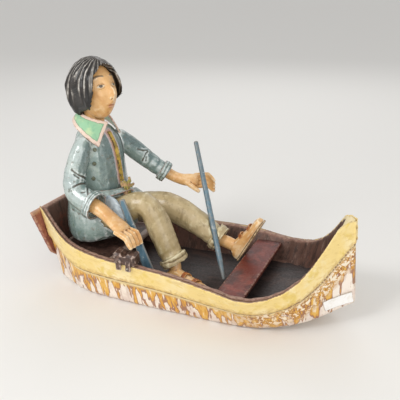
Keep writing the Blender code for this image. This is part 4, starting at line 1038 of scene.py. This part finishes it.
def calmFace(points):
    # Lids, lips and nostrils of an even, resting face
    local = inHead(points)
    heights = np.zeros(len(points))
    for eye in calmFacts["eyes"]:
        for height, *arc in calmFacts["eyeArcs"]:
            heights += height * faceArc(local, eye, *arc)
    for height, *arc in calmFacts["mouthArcs"]:
        heights += height * faceArc(local, 0.0, *arc)
    for wing in calmFacts["wings"]:
        for height, share, *spot in calmFacts["noseSpots"]:
            heights += height * faceSpot(local, wing * share, *spot)
    return heights


strandFacts = {"crown": (0.42, 0.10, 0.90), "locks": 13.0, "fine": 31.0, "depth": 0.0012,
               "bend": 0.22, "bendSize": 0.045, "bendSeed": 2.0}
drawnFacts = {"from": (-0.036, -0.002), "upTo": (0.016, 0.036), "farSide": (-0.005, 0.012),
              "slide": 0.014, "inward": (0.03, 0.05), "lowEdge": -0.006, "lift": (0.16, 0.22)}


def strandHeight(points):
    # Combed locks that run out from the crown: how high each point lies, from 0 in a groove
    # to 1 on a ridge, and how far it is out of the smooth crown
    local = inHead(points)
    way = local / np.linalg.norm(local, axis=1)[:, None]
    crown = Vector(strandFacts["crown"]).normalized()
    front = (Vector((1, 0, 0)) - crown * crown.x).normalized()
    side = crown.cross(front)
    angle = np.arctan2(way @ np.array(side), way @ np.array(front))
    bend = strandFacts["bend"] * cloud(local, strandFacts["bendSize"], strandFacts["bendSeed"])
    broad = np.abs(np.sin(strandFacts["locks"] * (angle + bend))) ** 1.1
    narrow = np.abs(np.sin(strandFacts["fine"] * (angle + bend) + 1.1))
    return 0.78 * broad + 0.22 * narrow, ramp(1 - way @ np.array(crown), 0.002, 0.05)


def drawnBack(points):
    # The hair's front edge slides back along the sides of the head, and its lower edge is
    # lifted, more so on the far side
    local = inHead(points)
    farSide = ramp(local[:, 1], *drawnFacts["farSide"])
    share = ramp(local[:, 0], *drawnFacts["from"]) * (1 - ramp(local[:, 2], *drawnFacts["upTo"]))
    share = share * ~onFace(local)
    near, far = drawnFacts["inward"]
    local[:, 0] -= drawnFacts["slide"] * share * (1 - 0.5 * farSide)
    local[:, 1] *= 1 - (near + far * farSide) * share
    drop = np.minimum(local[:, 2] - drawnFacts["lowEdge"], 0.0)
    near, far = drawnFacts["lift"]
    local[:, 2] -= drop * (near + far * farSide)
    return moved(local, headPlacement())


def hairStrands(points):
    ridge, outOfCrown = strandHeight(points)
    return -outOfCrown * strandFacts["depth"] * (1 - ridge)


headCarving = {"voxel": 0.0010, "wobble": 0.00015, "reach": 8, "reliefDepth": 0.0005,
               "folds": (calmFace,)}
hairCarving = {"voxel": 0.00105, "reach": 6, "reliefDepth": 0.0004, "reshape": drawnBack,
               "folds": (hairStrands,)}
handCarving = {"voxel": 0.0008, "soften": 4, "wobble": 0.00025, "wobbleSize": 0.004,
               "reliefDepth": 0.0005}
eyeFacts = {"side": 0.42, "halfWidth": 0.20, "opening": 0.056, "level": 0.012,
            "irisLevel": 0.030, "irisRadius": 0.070, "irisNarrow": 0.68}
faceLook = withLayers(
    skinLook, ("brows", "54402f", 0.75, 0.35, 0.8, 0.3), ("lips", "a85a3c", 0.6, 0.4, 0.9, 0.2),
    ("eyes", "d9cdb2", 0.85, 0.3, 0.7, 0.1), ("irises", "3a2a20", 0.9, 0.3, 0.7, 0.1))


def paintedEyes(local):
    # Almond-shaped eyes and the irises in them
    across, up = faceShares(local)
    aside = np.abs(across) - eyeFacts["side"]
    width = np.clip(1 - (aside / eyeFacts["halfWidth"]) ** 2, 0, 1)
    eyes = ramp(eyeFacts["opening"] * width - np.abs(up - eyeFacts["level"]), -0.008, 0.012)
    eyes = eyes * onFace(local) * (width > 0)
    away = np.hypot(aside * eyeFacts["irisNarrow"], up - eyeFacts["irisLevel"])
    return eyes, ramp(eyeFacts["irisRadius"] - away, 0.0, 0.015) * eyes


def buildHead():
    face = carve(mergedCopy("headCarved", "head"), headCarving)
    local = inHead(pointsOf(face.data))
    brows = sum(faceArc(local, eye, *calmFacts["browPaint"]) for eye in calmFacts["eyes"])
    lips = faceArc(local, 0.0, *calmFacts["lipPaint"])
    eyes, irises = paintedEyes(local)
    for name, values in (("brows", brows), ("lips", lips), ("eyes", eyes), ("irises", irises)):
        setAttribute(face.data, name, values)
    dress(face, paintFinish("facePaint", faceLook), "skin", "head")
    hair = carvedNode("hairCarved", "hair", "hair", paintFinish("hairPaint", hairLook), hairCarving)
    points = pointsOf(hair.data)
    # Painted highlight and shade of the locks: ridges light, grooves dark, lighter towards the top
    lit = 0.62 + 0.38 * ramp(inHead(points)[:, 2], -0.020, 0.006)
    setAttribute(hair.data, "strandLightAndShade", strandHeight(points)[0] * lit)
    hands = paintFinish("handPaint", skinLook)
    for name, node in (("handNear", "hand_right"), ("handFar", "hand_left")):
        carvedNode(name, node, "skin", hands, handCarving)


# Bare card on the bow

cardFacts = {"centre": (0.2170, 0.0420), "width": 0.034, "height": 0.0165, "tilt": 12.0,
             "off": 0.0005, "thickness": 0.0007, "curl": 0.0008, "cells": (24, 14)}
cardLook = {
    "base": "f6f4f1",
    "layers": [("mottle", "e6dfd4", 0.6, 120.0, 0.48, 0.66), ("rim", "a8957c", 0.7, 0.3, 0.05, 0.3),
               ("mottle", "c7b9a0", 0.4, 300.0, 0.60, 0.70)],
    "rough": (0.5, 0.7), "bump": 0.1}


def buildCard(hull):
    # Blank card stuck to the near side of the bow, pressed to the planking
    columns, rows = cardFacts["cells"]
    shape = bmesh.new()
    bmesh.ops.create_grid(shape, x_segments=columns, y_segments=rows, size=0.5)
    turn = Matrix.Rotation(math.radians(-cardFacts["tilt"]), 4, 'Y')
    across, up = cardFacts["centre"]
    centre, before, inward = Vector((across, 0, up)), Vector((0, -0.2, 0)), Vector((0, 1, 0))
    planking = BVHTree.FromPolygons([v.co for v in hull.data.vertices],
                                    [p.vertices for p in hull.data.polygons])
    for corner in shape.verts:
        x, z = corner.co.x, corner.co.y
        flat = turn @ Vector((x * cardFacts["width"], 0, z * cardFacts["height"])) + centre
        seat, normal = planking.ray_cast(flat + before, inward)[:2]
        corner.co = seat + normal * (cardFacts["off"] + cardFacts["curl"] * (abs(x) + abs(z)) ** 4)
    bmesh.ops.recalc_face_normals(shape, faces=shape.faces)
    if sum(f.normal.y for f in shape.faces) > 0:
        bmesh.ops.reverse_faces(shape, faces=shape.faces)
    bmesh.ops.smooth_vert(shape, verts=shape.verts, factor=0.5, use_axis_x=True, use_axis_y=True,
                          use_axis_z=True)
    bmesh.ops.solidify(shape, geom=shape.faces, thickness=-cardFacts["thickness"])
    mesh = meshFrom(shape, "bowCard")
    setAttribute(mesh, "rim", distanceTo(pointsOf(mesh), sharpPoints(mesh)) / 0.003)
    dress(addObject(mesh), paintFinish("cardPaper", cardLook), "collar")


print("finishes and tools ready")
buildCard(buildHull())
buildRails()
print("hull and rails done")
buildPlanks()
buildFittings()
print("planks, rowlocks and oars done")
buildCoat()
buildTrim()
print("coat and trim done")
buildLegs()
buildHead()
print("legs, head, hair and hands done")


# Studio

studio = {"floor": "eceae6", "floorRoughness": 0.9, "floorSize": 16.0, "world": 0.64,
          "lamps": (("keyLamp", (-0.8, -1.5, 1.5), 0.7, 18.0),
                    ("fillLamp", (1.1, -1.5, 0.75), 1.2, 12.0),
                    ("backLamp", (-0.4, 1.7, 1.4), 1.2, 6.0)), "lampAim": (0, 0, 0.12),
          "camera": (0.316, -0.745, 0.454), "yaw": 22.49, "pitch": 20.68, "lens": 54.0}


def buildStudio():
    scene = bpy.context.scene
    shape = bmesh.new()
    bmesh.ops.create_grid(shape, x_segments=1, y_segments=1, size=studio["floorSize"])
    floor = addObject(meshFrom(shape, "studioFloor"))
    paper = bpy.data.materials.new("studioPaper")
    paper.use_nodes = True
    shader = paper.node_tree.nodes["Principled BSDF"]
    shader.inputs["Base Color"].default_value = tint(studio["floor"])
    shader.inputs["Roughness"].default_value = studio["floorRoughness"]
    floor.data.materials.append(paper)
    world = bpy.data.worlds.new("studioLight")
    world.use_nodes = True
    back = world.node_tree.nodes["Background"]
    back.inputs["Color"].default_value = (1, 1, 1, 1)
    back.inputs["Strength"].default_value = studio["world"]
    scene.world = world
    for name, place, size, power in studio["lamps"]:
        lamp = bpy.data.lights.new(name, 'AREA')
        lamp.energy, lamp.size = power, size
        holder = addObject(lamp)
        holder.location = place
        aim = Vector(studio["lampAim"]) - Vector(place)
        holder.rotation_euler = aim.to_track_quat('-Z', 'Y').to_euler()
    camera = addObject(bpy.data.cameras.new("photoCamera"))
    camera.data.sensor_width, camera.data.lens = 36.0, studio["lens"]
    camera.location = studio["camera"]
    camera.rotation_euler = (math.radians(90 - studio["pitch"]), 0, math.radians(studio["yaw"]))
    scene.camera = camera
    scene.view_settings.view_transform = 'Standard'


buildStudio()
print("studio done")
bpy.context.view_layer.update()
import json
